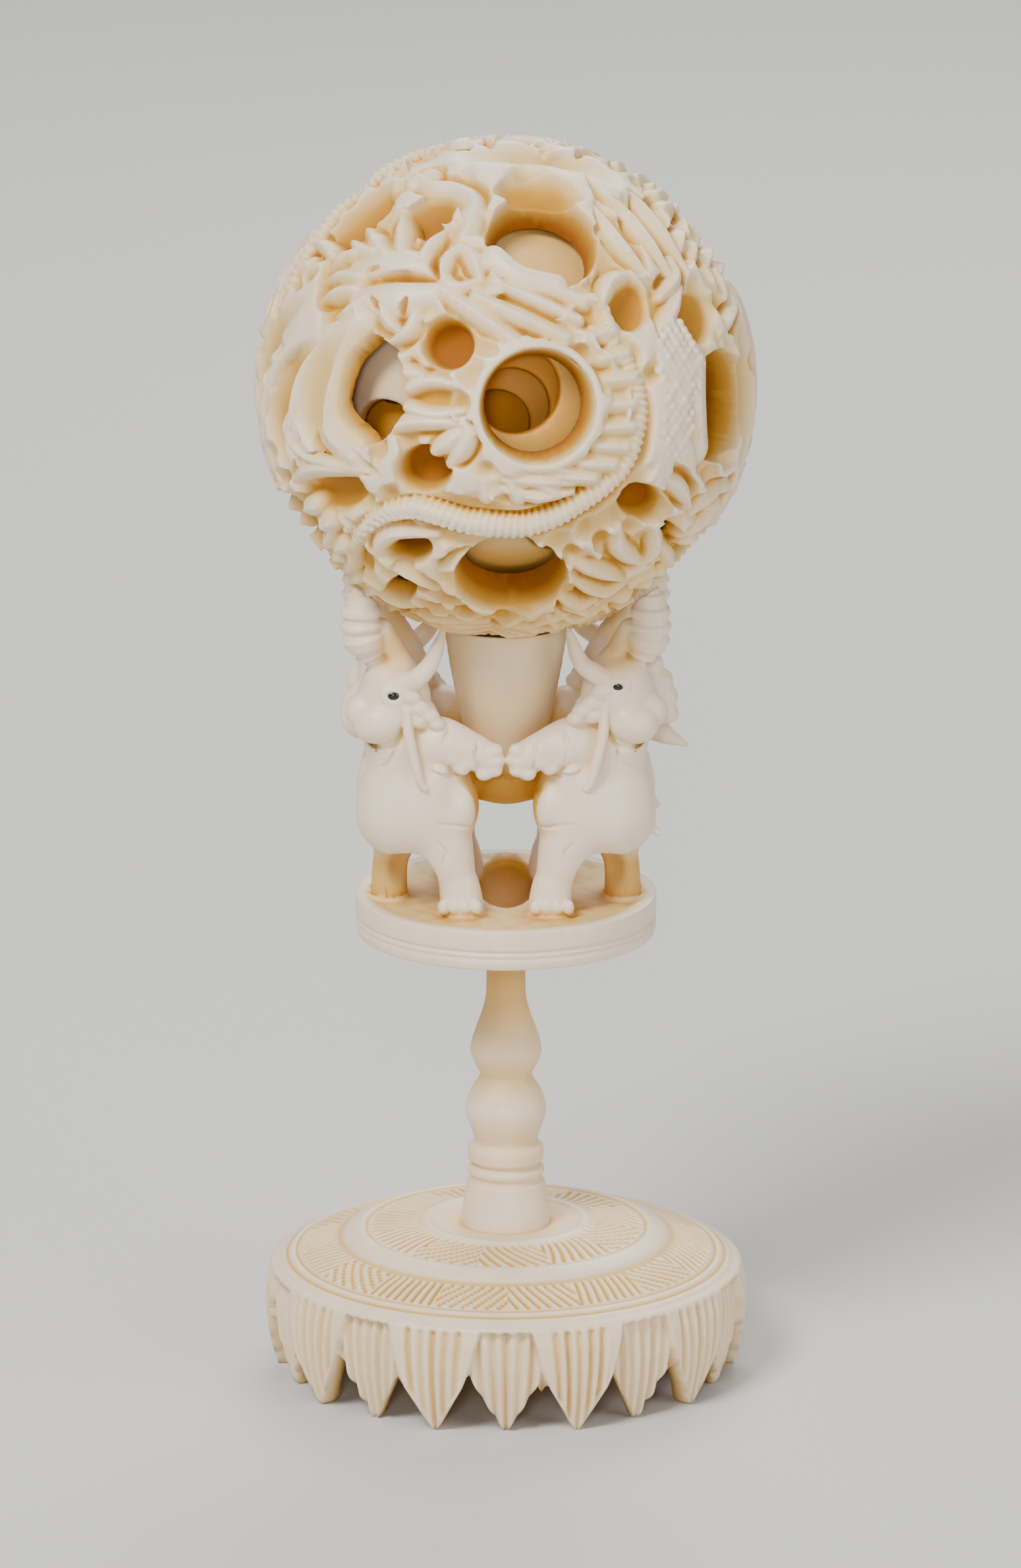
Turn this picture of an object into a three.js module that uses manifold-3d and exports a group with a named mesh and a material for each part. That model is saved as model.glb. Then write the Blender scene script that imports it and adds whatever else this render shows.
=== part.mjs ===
// An ivory puzzle ball on its stand: five hollow balls carved one inside the other,
// carried by four rearing elephants and a cup on a round platform, a turned stem and a
// domed foot with a skirt of hanging leaves.
// Millimetres, +Z up, origin on the ground under the middle of the foot, front towards -Y.

import * as THREE from 'three';
import { ConvexGeometry } from 'three/addons/geometries/ConvexGeometry.js';
import { mergeVertices } from 'three/addons/utils/BufferGeometryUtils.js';
import Module from 'manifold-3d';

const wasm = await Module();
wasm.setup();

// Foot
const footRadius = 27;
const footHeight = 17.2;
const footTipRadius = 25.6;
const footRimThickness = 2.4;
const footRecessHeight = 9.8;
const footBandOverhang = 0.3;
const footCollarRadius = 9.2;
const footBandInnerRadius = 15.4;
const footBandOuterRadius = 18.4;
const footGrooveRadius = 24;
const footGrooveDepth = 0.45;
const leafCount = 20;
const wideLeafWidth = 7.1;
const narrowLeafWidth = 4.7;
const leafTipWidth = 1;
const leafGapHeight = 6.6;
const leafShoulderHeight = 4.2;
const fluteDepth = 0.75;

// Stem
const stemHeight = 33.5;
const stemBaseRadius = 4.9;
const stemKnopRadius = 4.5;
const stemBulbRadius = 4;
const stemNeckRadius = 2.2;

// Platform
const platformRadius = 16.75;
const platformThickness = 4.5;
const platformGrooveDepth = 0.3;
const platformDishDepth = 0.5;
const pitWidth = 6.8;
const pitLength = 20.8;
const pitDepth = 2.5;
const pitDistance = 5.3;

// Balls
const ballRadius = 28;
const ballWall = 4.4;
const ballReliefDepth = 1.1;
const hollowDepth = 2.2;
const ballHoleRadius = 6.7;
const ballSeatHeight = 29.8;
const innerBallWall = 1.6;
const innerBallClearance = 1;
const innerBallNames = ['ball_second', 'ball_third', 'ball_fourth', 'ball_core'];
const restClearance = 0.3;

// Cup and elephants: the elephants keep their pose at any height and depth
const cupTopRadius = 6.4;
const cupBottomHeight = 10.6;
const cupWebHeight = 8.4;
const cupWebReach = 10;
const elephantHeight = 28.7;
const elephantDepth = 5.2;

const turnedSegments = 32;
const stemSegments = 16;
const platformSegments = 28;
const viewElevation = THREE.MathUtils.degToRad(15.6);

const platformBottom = footHeight + stemHeight;
const platformTop = platformBottom + platformThickness;
const ballHeight = platformTop + ballSeatHeight + ballRadius;
const ballCentre = new THREE.Vector3(0, 0, ballHeight);

const ivory = new THREE.MeshStandardMaterial({ color: 0xe4d9c6, roughness: 0.42, metalness: 0 });
const shadedIvory = new THREE.MeshStandardMaterial({ color: 0xc8a05f, roughness: 0.45, metalness: 0 });

// Solids

function solidOf(geometry) {
  const bare = geometry.clone();
  bare.deleteAttribute('normal');
  bare.deleteAttribute('uv');
  const merged = mergeVertices(bare, 1e-4);
  const corners = merged.index.array;
  const kept = [];
  for (let i = 0; i < corners.length; i += 3) {
    const [a, b, c] = [corners[i], corners[i + 1], corners[i + 2]];
    if (a !== b && b !== c && c !== a) {
      kept.push(a, b, c);
    }
  }
  return new wasm.Manifold(new wasm.Mesh({
    numProp: 3,
    vertProperties: new Float32Array(merged.attributes.position.array),
    triVerts: new Uint32Array(kept),
  }));
}

function joined(solids) {
  return solids.reduce((whole, next) => whole.add(next));
}

function meshOf(solid, name, material) {
  const result = solid.getMesh();
  const geometry = new THREE.BufferGeometry();
  geometry.setAttribute('position', new THREE.BufferAttribute(result.vertProperties, 3));
  geometry.setIndex(new THREE.BufferAttribute(result.triVerts, 1));
  geometry.computeVertexNormals();
  const mesh = new THREE.Mesh(geometry, material);
  mesh.name = name;
  return mesh;
}

// A turned form from [radius, height] pairs, with its axis along Z
function turned(profile, segments) {
  const outline = profile.map(([radius, height]) => new THREE.Vector2(radius, height));
  return new THREE.LatheGeometry(outline, segments).rotateX(Math.PI / 2);
}

function valueAlong(values, share) {
  const place = share * (values.length - 1);
  const before = Math.min(Math.floor(place), values.length - 2);
  return THREE.MathUtils.lerp(values[before], values[before + 1], place - before);
}

// A round limb whose radius changes along a smooth curve through the points
function limb(points, radii, sides, steps) {
  const curve = new THREE.CatmullRomCurve3(points);
  const frames = curve.computeFrenetFrames(steps);
  const tube = new THREE.CylinderGeometry(1, 1, 1, sides, steps);
  const places = tube.attributes.position;
  const place = new THREE.Vector3();
  for (let i = 0; i < places.count; i += 1) {
    const step = Math.round((places.getY(i) + 0.5) * steps);
    const radius = valueAlong(radii, step / steps);
    curve.getPointAt(step / steps, place);
    place.addScaledVector(frames.binormals[step], places.getX(i) * radius);
    place.addScaledVector(frames.normals[step], places.getZ(i) * radius);
    places.setXYZ(i, place.x, place.y, place.z);
  }
  return tube;
}

function ellipsoid(centre, radii, tilt, sides = 7, rings = 5) {
  const form = new THREE.SphereGeometry(1, sides, rings);
  form.scale(...radii);
  form.rotateY(THREE.MathUtils.degToRad(tilt));
  form.translate(centre.x, centre.y, centre.z);
  return form;
}

// Foot: a turned dome on a hollow skirt of hanging leaves, wide and narrow by turns

function footDome() {
  const groove = footGrooveDepth;
  const bandHeight = footHeight - 1.3;
  const shoulderHeight = footHeight - 4.6;
  const profile = [
    [0, footRecessHeight],
    [footRadius - footBandOverhang, footRecessHeight],
    [footRadius, footRecessHeight + 0.4],
    [footRadius - 0.9, shoulderHeight - 1],
    [footGrooveRadius + 0.5, shoulderHeight + 0.5],
    [footGrooveRadius, shoulderHeight + 0.7 - groove],
    [footGrooveRadius - 0.6, shoulderHeight + 0.9],
    [footBandOuterRadius + 0.4, bandHeight - 0.9 - groove],
    [footBandOuterRadius, bandHeight - 0.8],
    [footBandInnerRadius + 0.3, bandHeight],
    [footBandInnerRadius, bandHeight - groove],
    [footCollarRadius + 0.3, footHeight - groove],
    [footCollarRadius, footHeight],
    [0, footHeight],
  ];
  return solidOf(turned(profile, turnedSegments));
}

// The lower edge of one wide and one narrow leaf: [place along the edge, height, depth of flute]
function leafEdge() {
  const pitch = 2 * Math.PI * footTipRadius / leafCount;
  const halfTip = leafTipWidth / 2;
  const gap = (pitch + (narrowLeafWidth - wideLeafWidth) / 2) / 2;
  const wideStart = pitch - wideLeafWidth / 2;
  const flutePlace = pitch - wideLeafWidth / 4;
  const half = [
    [halfTip, 0, 0],
    [narrowLeafWidth / 2, leafShoulderHeight, fluteDepth / 2],
    [gap, leafGapHeight, fluteDepth],
    [wideStart, leafShoulderHeight, 0],
    [flutePlace, leafShoulderHeight / 2, fluteDepth],
    [pitch - halfTip, 0, 0],
  ];
  const otherHalf = half.map(([place, height, depth]) => [2 * pitch - place, height, depth]).reverse();
  return [...half, ...otherHalf];
}

function leafSkirt() {
  const edge = leafEdge();
  const columns = edge.length * leafCount / 2;
  const outerTop = footRadius - footBandOverhang - 0.1;
  const skirtTop = footRecessHeight + 0.3;
  const rings = [
    [footTipRadius - footRimThickness, 0],
    [footTipRadius, 0],
    [outerTop, skirtTop],
    [outerTop - footRimThickness, skirtTop],
    [footTipRadius - footRimThickness, 0],
  ];
  const outline = rings.map(([radius, height]) => new THREE.Vector2(radius, height));
  const skirt = new THREE.LatheGeometry(outline, columns);
  const places = skirt.attributes.position;
  for (let i = 0; i < places.count; i += 1) {
    const column = Math.floor(i / rings.length) % columns;
    const ring = i % rings.length;
    const [place, height, depth] = edge[column % edge.length];
    const pair = Math.floor(column / edge.length);
    const angle = -Math.PI / 2 + place / footTipRadius + pair * 4 * Math.PI / leafCount;
    const isEdge = ring < 2 || ring === rings.length - 1;
    const radius = rings[ring][0] - (ring === 1 ? depth : 0);
    const up = isEdge ? height : rings[ring][1];
    places.setXYZ(i, radius * Math.cos(angle), radius * Math.sin(angle), up);
  }
  return solidOf(skirt);
}

function foot() {
  return footDome().add(leafSkirt());
}

// Stem

function stem() {
  const drum = stemBaseRadius;
  const knop = stemKnopRadius;
  const profile = [
    [0, 0],
    [drum, 0],
    [drum - 0.4, 4.4],
    [knop - 0.5, 4.9],
    [knop - 0.2, 5.7],
    [knop - 0.5, 6.4],
    [knop - 0.3, 8.4],
    [knop - 1, 9],
    [knop - 0.4, 10.6],
    [knop, 12.7],
    [knop - 0.4, 14.6],
    [stemBulbRadius - 1.1, 16.7],
    [stemBulbRadius, 19.7],
    [stemBulbRadius - 0.4, 21.8],
    [stemNeckRadius, 26.5],
    [stemNeckRadius, stemHeight],
    [0, stemHeight],
  ];
  return solidOf(turned(profile, stemSegments)).translate([0, 0, footHeight]);
}

// Platform and cup

function platform() {
  const groove = platformGrooveDepth;
  const profile = [
    [0, 0],
    [platformRadius - 1.2, 0],
    [platformRadius, 1.4],
    [platformRadius - groove, 2],
    [platformRadius, 2.6],
    [platformRadius, platformThickness],
    [platformRadius - 1.2, platformThickness],
    [platformRadius - 3, platformThickness - platformDishDepth],
    [0, platformThickness - platformDishDepth],
  ];
  const disc = solidOf(turned(profile, platformSegments));
  const pitCentre = new THREE.Vector3(0, pitDistance, platformThickness);
  const pit = ellipsoid(pitCentre, [pitWidth / 2, pitLength / 2, pitDepth + platformDishDepth], 0);
  return disc.subtract(solidOf(pit)).translate([0, 0, platformBottom]);
}

function cup() {
  const profile = [
    [0, cupBottomHeight],
    [cupTopRadius * 0.5, cupBottomHeight + 0.8],
    [cupTopRadius * 0.72, cupBottomHeight + 3],
    [cupTopRadius * 0.78, cupBottomHeight + 8],
    [cupTopRadius * 0.88, cupBottomHeight + 14],
    [cupTopRadius, ballSeatHeight + 0.9],
    [0, ballSeatHeight + 0.9],
  ];
  const bowl = solidOf(turned(profile, stemSegments));
  const webCentre = new THREE.Vector3(0, 0, cupBottomHeight + cupWebHeight / 2);
  const web = ellipsoid(webCentre, [cupWebReach, cupTopRadius * 0.65, cupWebHeight / 2], 0);
  return bowl.add(solidOf(web)).translate([0, 0, platformTop]);
}

// Elephants: [distance from the middle, depth, height above the platform] at their full size
// of 28.7 mm, mirrored to each side and to the back

function elephant(side, front) {
  const unit = elephantHeight / 28.7;
  const depthUnit = elephantDepth / 5.2;
  function at(out, depth, up) {
    return new THREE.Vector3(side * out * unit, front * depth * depthUnit, platformTop + up * unit);
  }
  function part(out, depth, up, radii, tilt = 0) {
    return ellipsoid(at(out, depth, up), radii.map((radius) => radius * unit), side * tilt);
  }
  function arm(points, radii, sides, steps) {
    return limb(points.map((point) => at(...point)), radii.map((radius) => radius * unit), sides, steps);
  }
  const parts = [
    part(10.1, 5, 11.8, [6.4, 5.2, 8.6]),
    part(12, 5.4, 22.6, [4.5, 3.9, 5.2], 15),
    arm([[6.8, 6.2, 8], [5.6, 6.8, 3], [5, 7, -0.8]], [3, 2.1, 2.6], 5, 2),
    arm([[12.2, 2.4, 8], [13, 1.8, -0.8]], [2.9, 2], 5, 1),
    arm([[9.5, 5.6, 18.6], [5.5, 7, 17.6], [1.3, 7.8, 14.6]], [3.2, 2, 1.6], 5, 2),
    arm([[11.6, 5.7, 26], [12.6, 6.1, 29], [15.2, 6.8, 31], [15.9, 7.1, 36]],
      [2.4, 1.5, 2.2, 1.4], 6, 4),
  ];
  if (front < 0) {
    parts.push(part(8.8, 6, 22.2, [2.6, 2, 1.7], -20));
    parts.push(arm([[10.8, 7.4, 24.8], [7.8, 7.8, 27.4], [6.9, 7.2, 31.6]], [1.1, 0.9, 0.2], 4, 4));
    parts.push(arm([[14.8, 5.4, 9.4], [16.9, 5.7, 7.4]], [1.4, 0.3], 4, 1));
  } else {
    parts.push(part(15.6, 2.2, 20.5, [2.8, 2.2, 3.6], -20));
  }
  return joined(parts.map(solidOf)).add(ear(side, front));
}

function ear(side, front) {
  const unit = elephantHeight / 28.7;
  const thickness = 2.4;
  const cheek = 7.6 * elephantDepth / 5.2;
  const outline = new THREE.Shape();
  outline.moveTo(side * 9.8, 22);
  outline.quadraticCurveTo(side * 13, 24, side * 15.4, 21);
  outline.quadraticCurveTo(side * 16.4, 18.4, side * 14.6, 16.8);
  outline.quadraticCurveTo(side * 12, 15.6, side * 9.2, 13.6);
  outline.quadraticCurveTo(side * 10.4, 17, side * 9.8, 22);
  const form = new THREE.ExtrudeGeometry(outline, {
    depth: thickness, curveSegments: 2, bevelEnabled: false,
  });
  form.rotateX(Math.PI / 2);
  form.scale(unit, 1, unit);
  form.translate(0, front > 0 ? cheek + thickness : -cheek, platformTop);
  return solidOf(form);
}

// An outward tusk that shows at the right edge
function sideTusk() {
  const unit = elephantHeight / 28.7;
  const points = [[15.6, 1.5, 18.6], [17.6, 1, 17.8], [20, 0.6, 16.7]].map(([out, depth, up]) => (
    new THREE.Vector3(out * unit, depth * unit, platformTop + up * unit)));
  return solidOf(limb(points, [1.3, 1, 0.3], 5, 2));
}

function elephantStand() {
  const pieces = [platform(), cup(), sideTusk()];
  for (const side of [-1, 1]) {
    for (const front of [-1, 1]) {
      pieces.push(elephant(side, front));
    }
  }
  const seat = new THREE.IcosahedronGeometry(ballRadius + restClearance, 6);
  seat.translate(0, 0, ballHeight);
  return joined(pieces).subtract(solidOf(seat));
}

// Balls: a place on the ball is given as seen from the front, right and up in ball radii

function directionSeen(right, up) {
  const towards = Math.sqrt(Math.max(0, 1 - right * right - up * up));
  return new THREE.Vector3(
    right,
    up * Math.sin(viewElevation) - towards * Math.cos(viewElevation),
    up * Math.cos(viewElevation) + towards * Math.sin(viewElevation),
  ).normalize();
}

// The fourteen holes lie on seven axes: one to the front, four round it, two across
function holeAxes() {
  const front = directionSeen(0.13, -0.108);
  const up = directionSeen(0.15, 0.57);
  const left = directionSeen(-0.6, -0.03);
  const right = directionSeen(0.88, -0.09);
  const down = directionSeen(0.02, -0.8);
  const acrossRight = new THREE.Vector3().addVectors(up, right).addScaledVector(front, -1.35);
  const acrossLeft = new THREE.Vector3().addVectors(up, left).addScaledVector(front, -1.63);
  const axes = [front, up, left, right, down, acrossRight.normalize(), acrossLeft.normalize()];
  return axes.flatMap((axis) => [axis, axis.clone().negate()]);
}

function turnedTowards(direction) {
  return new THREE.Quaternion().setFromUnitVectors(new THREE.Vector3(0, 1, 0), direction);
}

// The rim of a hole on a ball of radius 1. The holes are cones towards the middle.
function rimPlaces(direction, sides) {
  const turn = turnedTowards(direction);
  return Array.from({ length: sides }, (_, corner) => {
    const angle = 2 * Math.PI * corner / sides;
    const place = new THREE.Vector3(Math.sin(angle) * ballHoleRadius, ballRadius,
      Math.cos(angle) * ballHoleRadius);
    return place.applyQuaternion(turn).normalize();
  });
}

// Places on a ball of radius 1 that are clear of the holes
function placesBetween(holes, detail) {
  const clearAngle = 1.4 * Math.atan(ballHoleRadius / ballRadius);
  const even = new THREE.IcosahedronGeometry(1, detail);
  even.deleteAttribute('normal');
  even.deleteAttribute('uv');
  const places = mergeVertices(even, 1e-4).attributes.position;
  return Array.from({ length: places.count }, (_, i) => new THREE.Vector3().fromBufferAttribute(places, i))
    .filter((place) => holes.every((hole) => hole.angleTo(place) > clearAngle));
}

// A hollow ball with its holes: the hull of their rims and of the places between them,
// without the faces over the holes, its copy inside, and the walls of the holes
function piercedBall(outerRadius, wall, holeSides, detail) {
  const holes = holeAxes();
  const rims = holes.map((direction) => rimPlaces(direction, holeSides));
  const hull = new ConvexGeometry([...rims.flat(), ...placesBetween(holes, detail)]).attributes.position;
  const innerShare = (outerRadius - wall) / outerRadius;
  const corners = [];
  function face(...places) {
    corners.push(...places.flatMap((place) => place.toArray()));
  }
  function inward(places) {
    return places.map((place) => place.clone().multiplyScalar(innerShare));
  }
  function holeOf(place) {
    return rims.findIndex((rim) => rim.some((corner) => corner.distanceTo(place) < 1e-6));
  }
  for (let i = 0; i < hull.count; i += 3) {
    const places = [0, 1, 2].map((k) => new THREE.Vector3().fromBufferAttribute(hull, i + k));
    const owners = places.map(holeOf);
    const isOverHole = owners[0] >= 0 && owners.every((owner) => owner === owners[0]);
    if (!isOverHole) {
      face(...places);
      face(...inward(places).reverse());
    }
  }
  for (const rim of rims) {
    rim.forEach((here, k) => {
      const next = rim[(k + 1) % holeSides];
      const [deepHere, deepNext] = inward([here, next]);
      face(here, next, deepHere);
      face(next, deepNext, deepHere);
    });
  }
  const shell = new THREE.BufferGeometry();
  shell.setAttribute('position', new THREE.Float32BufferAttribute(corners, 3));
  return mergeVertices(shell.scale(outerRadius, outerRadius, outerRadius), 1e-4);
}

// Ropes of dragon body and ridges: [right, up] places and their radius. Those on both sides
// are repeated through the middle of the ball, and the rest are on the front alone.
const ropes = [
  { radius: 1.6, sides: 5, isOnBoth: true, places: [[-0.6, -0.64], [-0.5, -0.54], [-0.36, -0.52],
    [-0.17, -0.57], [0.05, -0.59], [0.22, -0.54], [0.41, -0.42], [0.51, -0.29], [0.545, -0.12],
    [0.51, 0.03], [0.42, 0.16]] },
  { radius: 1.6, sides: 4, isOnBoth: true, places: [[-0.88, 0.35], [-0.81, 0.52], [-0.69, 0.68],
    [-0.5, 0.85], [-0.31, 0.95], [-0.1, 0.98]] },
  { radius: 1.5, sides: 4, places: [[-0.8, 0.46], [-0.6, 0.46], [-0.4, 0.44], [-0.23, 0.4],
    [-0.1, 0.28], [0.08, 0.14]] },
  { radius: 1.3, sides: 4, isOnBoth: true, places: [[-0.62, 0.22], [-0.73, 0.19], [-0.84, 0.07],
    [-0.9, -0.1], [-0.9, -0.25]] },
  { radius: 1.3, sides: 4, places: [[-0.66, 0.17], [-0.78, 0.08], [-0.84, -0.15], [-0.77, -0.3],
    [-0.6, -0.38], [-0.42, -0.42]] },
  { radius: 1.4, sides: 4, isOnBoth: true, places: [[0.42, 0.79], [0.56, 0.62], [0.68, 0.41],
    [0.66, 0.13], [0.68, -0.1], [0.67, -0.3]] },
  { radius: 1.2, sides: 4, places: [[-0.37, 0.85], [-0.3, 0.79], [-0.16, 0.78], [-0.12, 0.66],
    [-0.17, 0.52]] },
  { radius: 1.3, sides: 4, isOnBoth: true, places: [[0.94, 0.34], [1, 0], [0.93, -0.36]] },
];

// Round hollows between the ropes: their place and radius
const hollows = [
  { right: -0.23, up: 0.15, radius: 3.1, isOnBoth: true },
  { right: -0.33, up: -0.36, radius: 3.1, isOnBoth: true },
  { right: 0.55, up: -0.49, radius: 2.5 },
  { right: 0.76, up: 0.26, radius: 2.8 },
  { right: -0.68, up: -0.43, radius: 2.6, isOnBoth: true },
  { right: 0.5, up: 0.3, radius: 2.4 },
  { right: 0.64, up: 0.52, radius: 1.9 },
  { right: -0.39, up: -0.67, radius: 2.3 },
  { right: -0.29, up: 0.64, radius: 2.3 },
  { right: 0.13, up: 0.76, radius: 2.6 },
  { right: -0.55, up: 0.68, radius: 2.4 },
];

function onItsSides(items, makeSolid) {
  return items.flatMap((item) => (item.isOnBoth ? [1, -1] : [1]).map((sign) => makeSolid(item, sign)));
}

function ropeSolid(rope, sign) {
  const distance = ballRadius - rope.radius;
  const points = rope.places.map(([right, up]) => (
    directionSeen(right, up).multiplyScalar(sign * distance).add(ballCentre)));
  const ends = rope.radius * 0.6;
  const radii = [ends, rope.radius, rope.radius, ends];
  return solidOf(limb(points, radii, rope.sides, points.length));
}

function hollowSolid({ right, up, radius }, sign) {
  const direction = directionSeen(right, up).multiplyScalar(sign);
  const depth = ballReliefDepth + hollowDepth;
  const cutter = new THREE.CylinderGeometry(radius * 1.15, radius * 0.8, 2 * depth, 6, 1);
  cutter.applyQuaternion(turnedTowards(direction));
  cutter.translate(...direction.multiplyScalar(ballRadius).add(ballCentre));
  return solidOf(cutter);
}

function outerBall() {
  const ground = piercedBall(ballRadius - ballReliefDepth, ballWall, 8, 3);
  ground.translate(...ballCentre);
  const raised = joined(onItsSides(ropes, ropeSolid));
  const cut = joined(onItsSides(hollows, hollowSolid));
  return solidOf(ground).subtract(cut).add(raised);
}

function innerBall(outerRadius, turn, name) {
  const mesh = new THREE.Mesh(piercedBall(outerRadius, innerBallWall, 6, 2), shadedIvory);
  mesh.geometry.computeVertexNormals();
  mesh.rotation.set(...turn.map(THREE.MathUtils.degToRad));
  mesh.position.copy(ballCentre);
  mesh.name = name;
  return mesh;
}

const innerBallTurns = [[-1, -29, 1], [2, 13, -8], [9, -28, -7], [-16, 27, -23]];

const puzzleBall = new THREE.Group();
puzzleBall.add(meshOf(foot(), 'foot', ivory));
puzzleBall.add(meshOf(stem(), 'stem', ivory));
puzzleBall.add(meshOf(elephantStand(), 'elephant_stand', ivory));
puzzleBall.add(meshOf(outerBall(), 'ball_outer', ivory));
let nextRadius = ballRadius - ballReliefDepth - ballWall - innerBallClearance;
innerBallNames.forEach((name, level) => {
  puzzleBall.add(innerBall(nextRadius, innerBallTurns[level], name));
  nextRadius -= innerBallWall + innerBallClearance;
});

export default puzzleBall;
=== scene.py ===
# The ivory puzzle ball on its elephant stand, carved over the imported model.
# Lengths in this script are millimetres, in the frame of the model, and meshes are made
# in metres. Places on the ball are given as (right, up) in ball radii, as the photo shows it.

import math

import bmesh
import bpy
import numpy as np
import openvdb
from mathutils import Matrix, Vector


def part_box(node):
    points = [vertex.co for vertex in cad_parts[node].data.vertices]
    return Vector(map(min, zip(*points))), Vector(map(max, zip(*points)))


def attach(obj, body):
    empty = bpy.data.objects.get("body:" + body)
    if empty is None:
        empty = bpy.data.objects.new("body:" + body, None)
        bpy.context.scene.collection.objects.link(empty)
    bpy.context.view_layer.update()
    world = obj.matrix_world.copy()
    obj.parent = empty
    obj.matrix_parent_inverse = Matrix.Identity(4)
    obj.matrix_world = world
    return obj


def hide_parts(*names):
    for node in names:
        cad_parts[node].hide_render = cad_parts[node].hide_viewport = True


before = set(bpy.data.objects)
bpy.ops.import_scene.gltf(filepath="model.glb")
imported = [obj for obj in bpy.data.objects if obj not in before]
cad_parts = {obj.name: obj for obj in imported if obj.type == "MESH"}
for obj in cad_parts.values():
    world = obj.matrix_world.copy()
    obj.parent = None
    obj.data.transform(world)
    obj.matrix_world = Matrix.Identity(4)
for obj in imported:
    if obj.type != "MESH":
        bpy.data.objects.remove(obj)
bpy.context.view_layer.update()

METRES = 0.001

CARVING_STEP = 0.19
STAND_STEP = 0.17
INNER_STEP = 0.3
BALL_FACES = 196000
STAND_FACES = 192000
INNER_FACES = 40000
FOOT_COLUMNS = 1040
FOOT_TOP_ROWS = 62
SKIRT_ROWS = 24
STEM_COLUMNS = 128
STEM_ROWS = 340
# The greatest distance that a grid holds
FAR = 6.0

# Sizes read from the model
PLATFORM_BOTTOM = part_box("stem")[1].z / METRES
BALL_CENTRE = np.array([0.0, 0.0, (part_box("ball_outer")[0].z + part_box("ball_outer")[1].z) / 2 / METRES])
PLATFORM_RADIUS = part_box("elephant_stand")[1].y / METRES

# Sizes of the balls, as in the model
BALL_RADIUS = 28.0
GROUND_RADIUS = 27.75
BALL_INSIDE_RADIUS = 22.5
BALL_REACH = BALL_RADIUS + 1
HOLE_RADIUS = 6.7
HOLE_SPREAD = HOLE_RADIUS / BALL_RADIUS
HOLE_ANGLE = math.atan(HOLE_SPREAD)
INNER_WALL = 1.6
# The inner balls: outside radius, turns about X, Y and Z in degrees, and tone, a painted shade that grows
# towards the core
INNER_BALLS = {
    "ball_second": (21.5, (-1, -29, 1), -0.02),
    "ball_third": (18.9, (2, 13, -8), 0.14),
    "ball_fourth": (16.3, (9, -28, -7), 0.3),
    "ball_core": (13.7, (-16, 27, -23), 0.42),
}
PLATFORM_THICKNESS = 4.5
PLATFORM_TOP = PLATFORM_BOTTOM + PLATFORM_THICKNESS
REST_GAP = 0.3
BASE_SPREAD = 0.35

# The photograph's view
CAMERA_DISTANCE = 1600.0
VIEW_TILT = math.radians(15.6)
CAMERA_AIM = (0.51, 0.0, 67.5)
CAMERA_LENS = 330.6
SENSOR_WIDTH = 36


# Clay

class Clay:
    """A block of ivory: the distance to its surface at every point of an even grid."""

    def __init__(self, low, high, step):
        self.low = np.array(low, float)
        self.step = step
        span = np.array(high, float) - self.low
        self.shape = tuple(int(math.ceil(s / step)) + 1 for s in span)
        self.field = np.full(self.shape, FAR, np.float32)

    def window(self, low, high):
        """The slices of the grid inside a box and the coordinates of its points."""
        first = np.floor((np.array(low) - self.low) / self.step).astype(int)
        last = np.ceil((np.array(high) - self.low) / self.step).astype(int) + 1
        first = np.maximum(first, 0)
        last = np.minimum(last, self.shape)
        if np.any(last - first < 2):
            return None, None
        slices = tuple(slice(a, b) for a, b in zip(first, last))
        axes = [(self.low[k] + self.step * np.arange(first[k], last[k])).astype(np.float32)
                for k in range(3)]
        return slices, (axes[0][:, None, None], axes[1][None, :, None], axes[2][None, None, :])

    def from_middle(self, place, reach):
        """The grid within reach of a place: its points from the ball's middle, and how far they are."""
        slices, places = self.window(place - reach, place + reach)
        x, y, z = (p - np.float32(c) for p, c in zip(places, BALL_CENTRE))
        return slices, (x, y, z), np.sqrt(x * x + y * y + z * z)

    def put(self, slices, distance, blend, carve=False):
        """Joins a form to the ivory, or carves it away."""
        sign = -1 if carve else 1
        self.field[slices] = sign * smooth_min(sign * self.field[slices], distance, blend)

    def solid_share(self, places, reach):
        """How much of the room within reach of each place is ivory, from 0 to 1."""
        stride = max(1, int(round(reach / self.step / 3)))
        coarse = self.field[::stride, ::stride, ::stride]
        share = np.clip(0.5 - coarse / (self.step * stride), 0, 1)
        width = max(1, int(round(reach / (self.step * stride))))
        for axis in range(3):
            share = box_blur(share, width, axis)
            share = box_blur(share, width, axis)
        return sample(share, (places - self.low) / (self.step * stride))


def smooth_min(a, b, blend):
    if blend <= 0:
        return np.minimum(a, b)
    share = np.clip(0.5 + 0.5 * (b - a) / blend, 0, 1)
    return b + (a - b) * share - blend * share * (1 - share)


def box_blur(values, width, axis):
    moved = np.moveaxis(values, axis, 0)
    padded = np.concatenate([np.repeat(moved[:1], width + 1, 0), moved, np.repeat(moved[-1:], width, 0)])
    sums = np.cumsum(padded, axis=0, dtype=np.float32)
    blurred = (sums[2 * width + 1:] - sums[:-2 * width - 1]) / (2 * width + 1)
    return np.moveaxis(blurred, 0, axis)


def sample(values, places):
    """Values of a grid between its points, linearly."""
    limit = np.array(values.shape) - 1.001
    places = np.clip(places, 0, limit)
    cell = places.astype(int)
    part = places - cell
    result = np.zeros(len(places))
    for dx in (0, 1):
        for dy in (0, 1):
            for dz in (0, 1):
                weight = (np.abs(1 - dx - part[:, 0]) * np.abs(1 - dy - part[:, 1])
                          * np.abs(1 - dz - part[:, 2]))
                result += weight * values[cell[:, 0] + dx, cell[:, 1] + dy, cell[:, 2] + dz]
    return result


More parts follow.
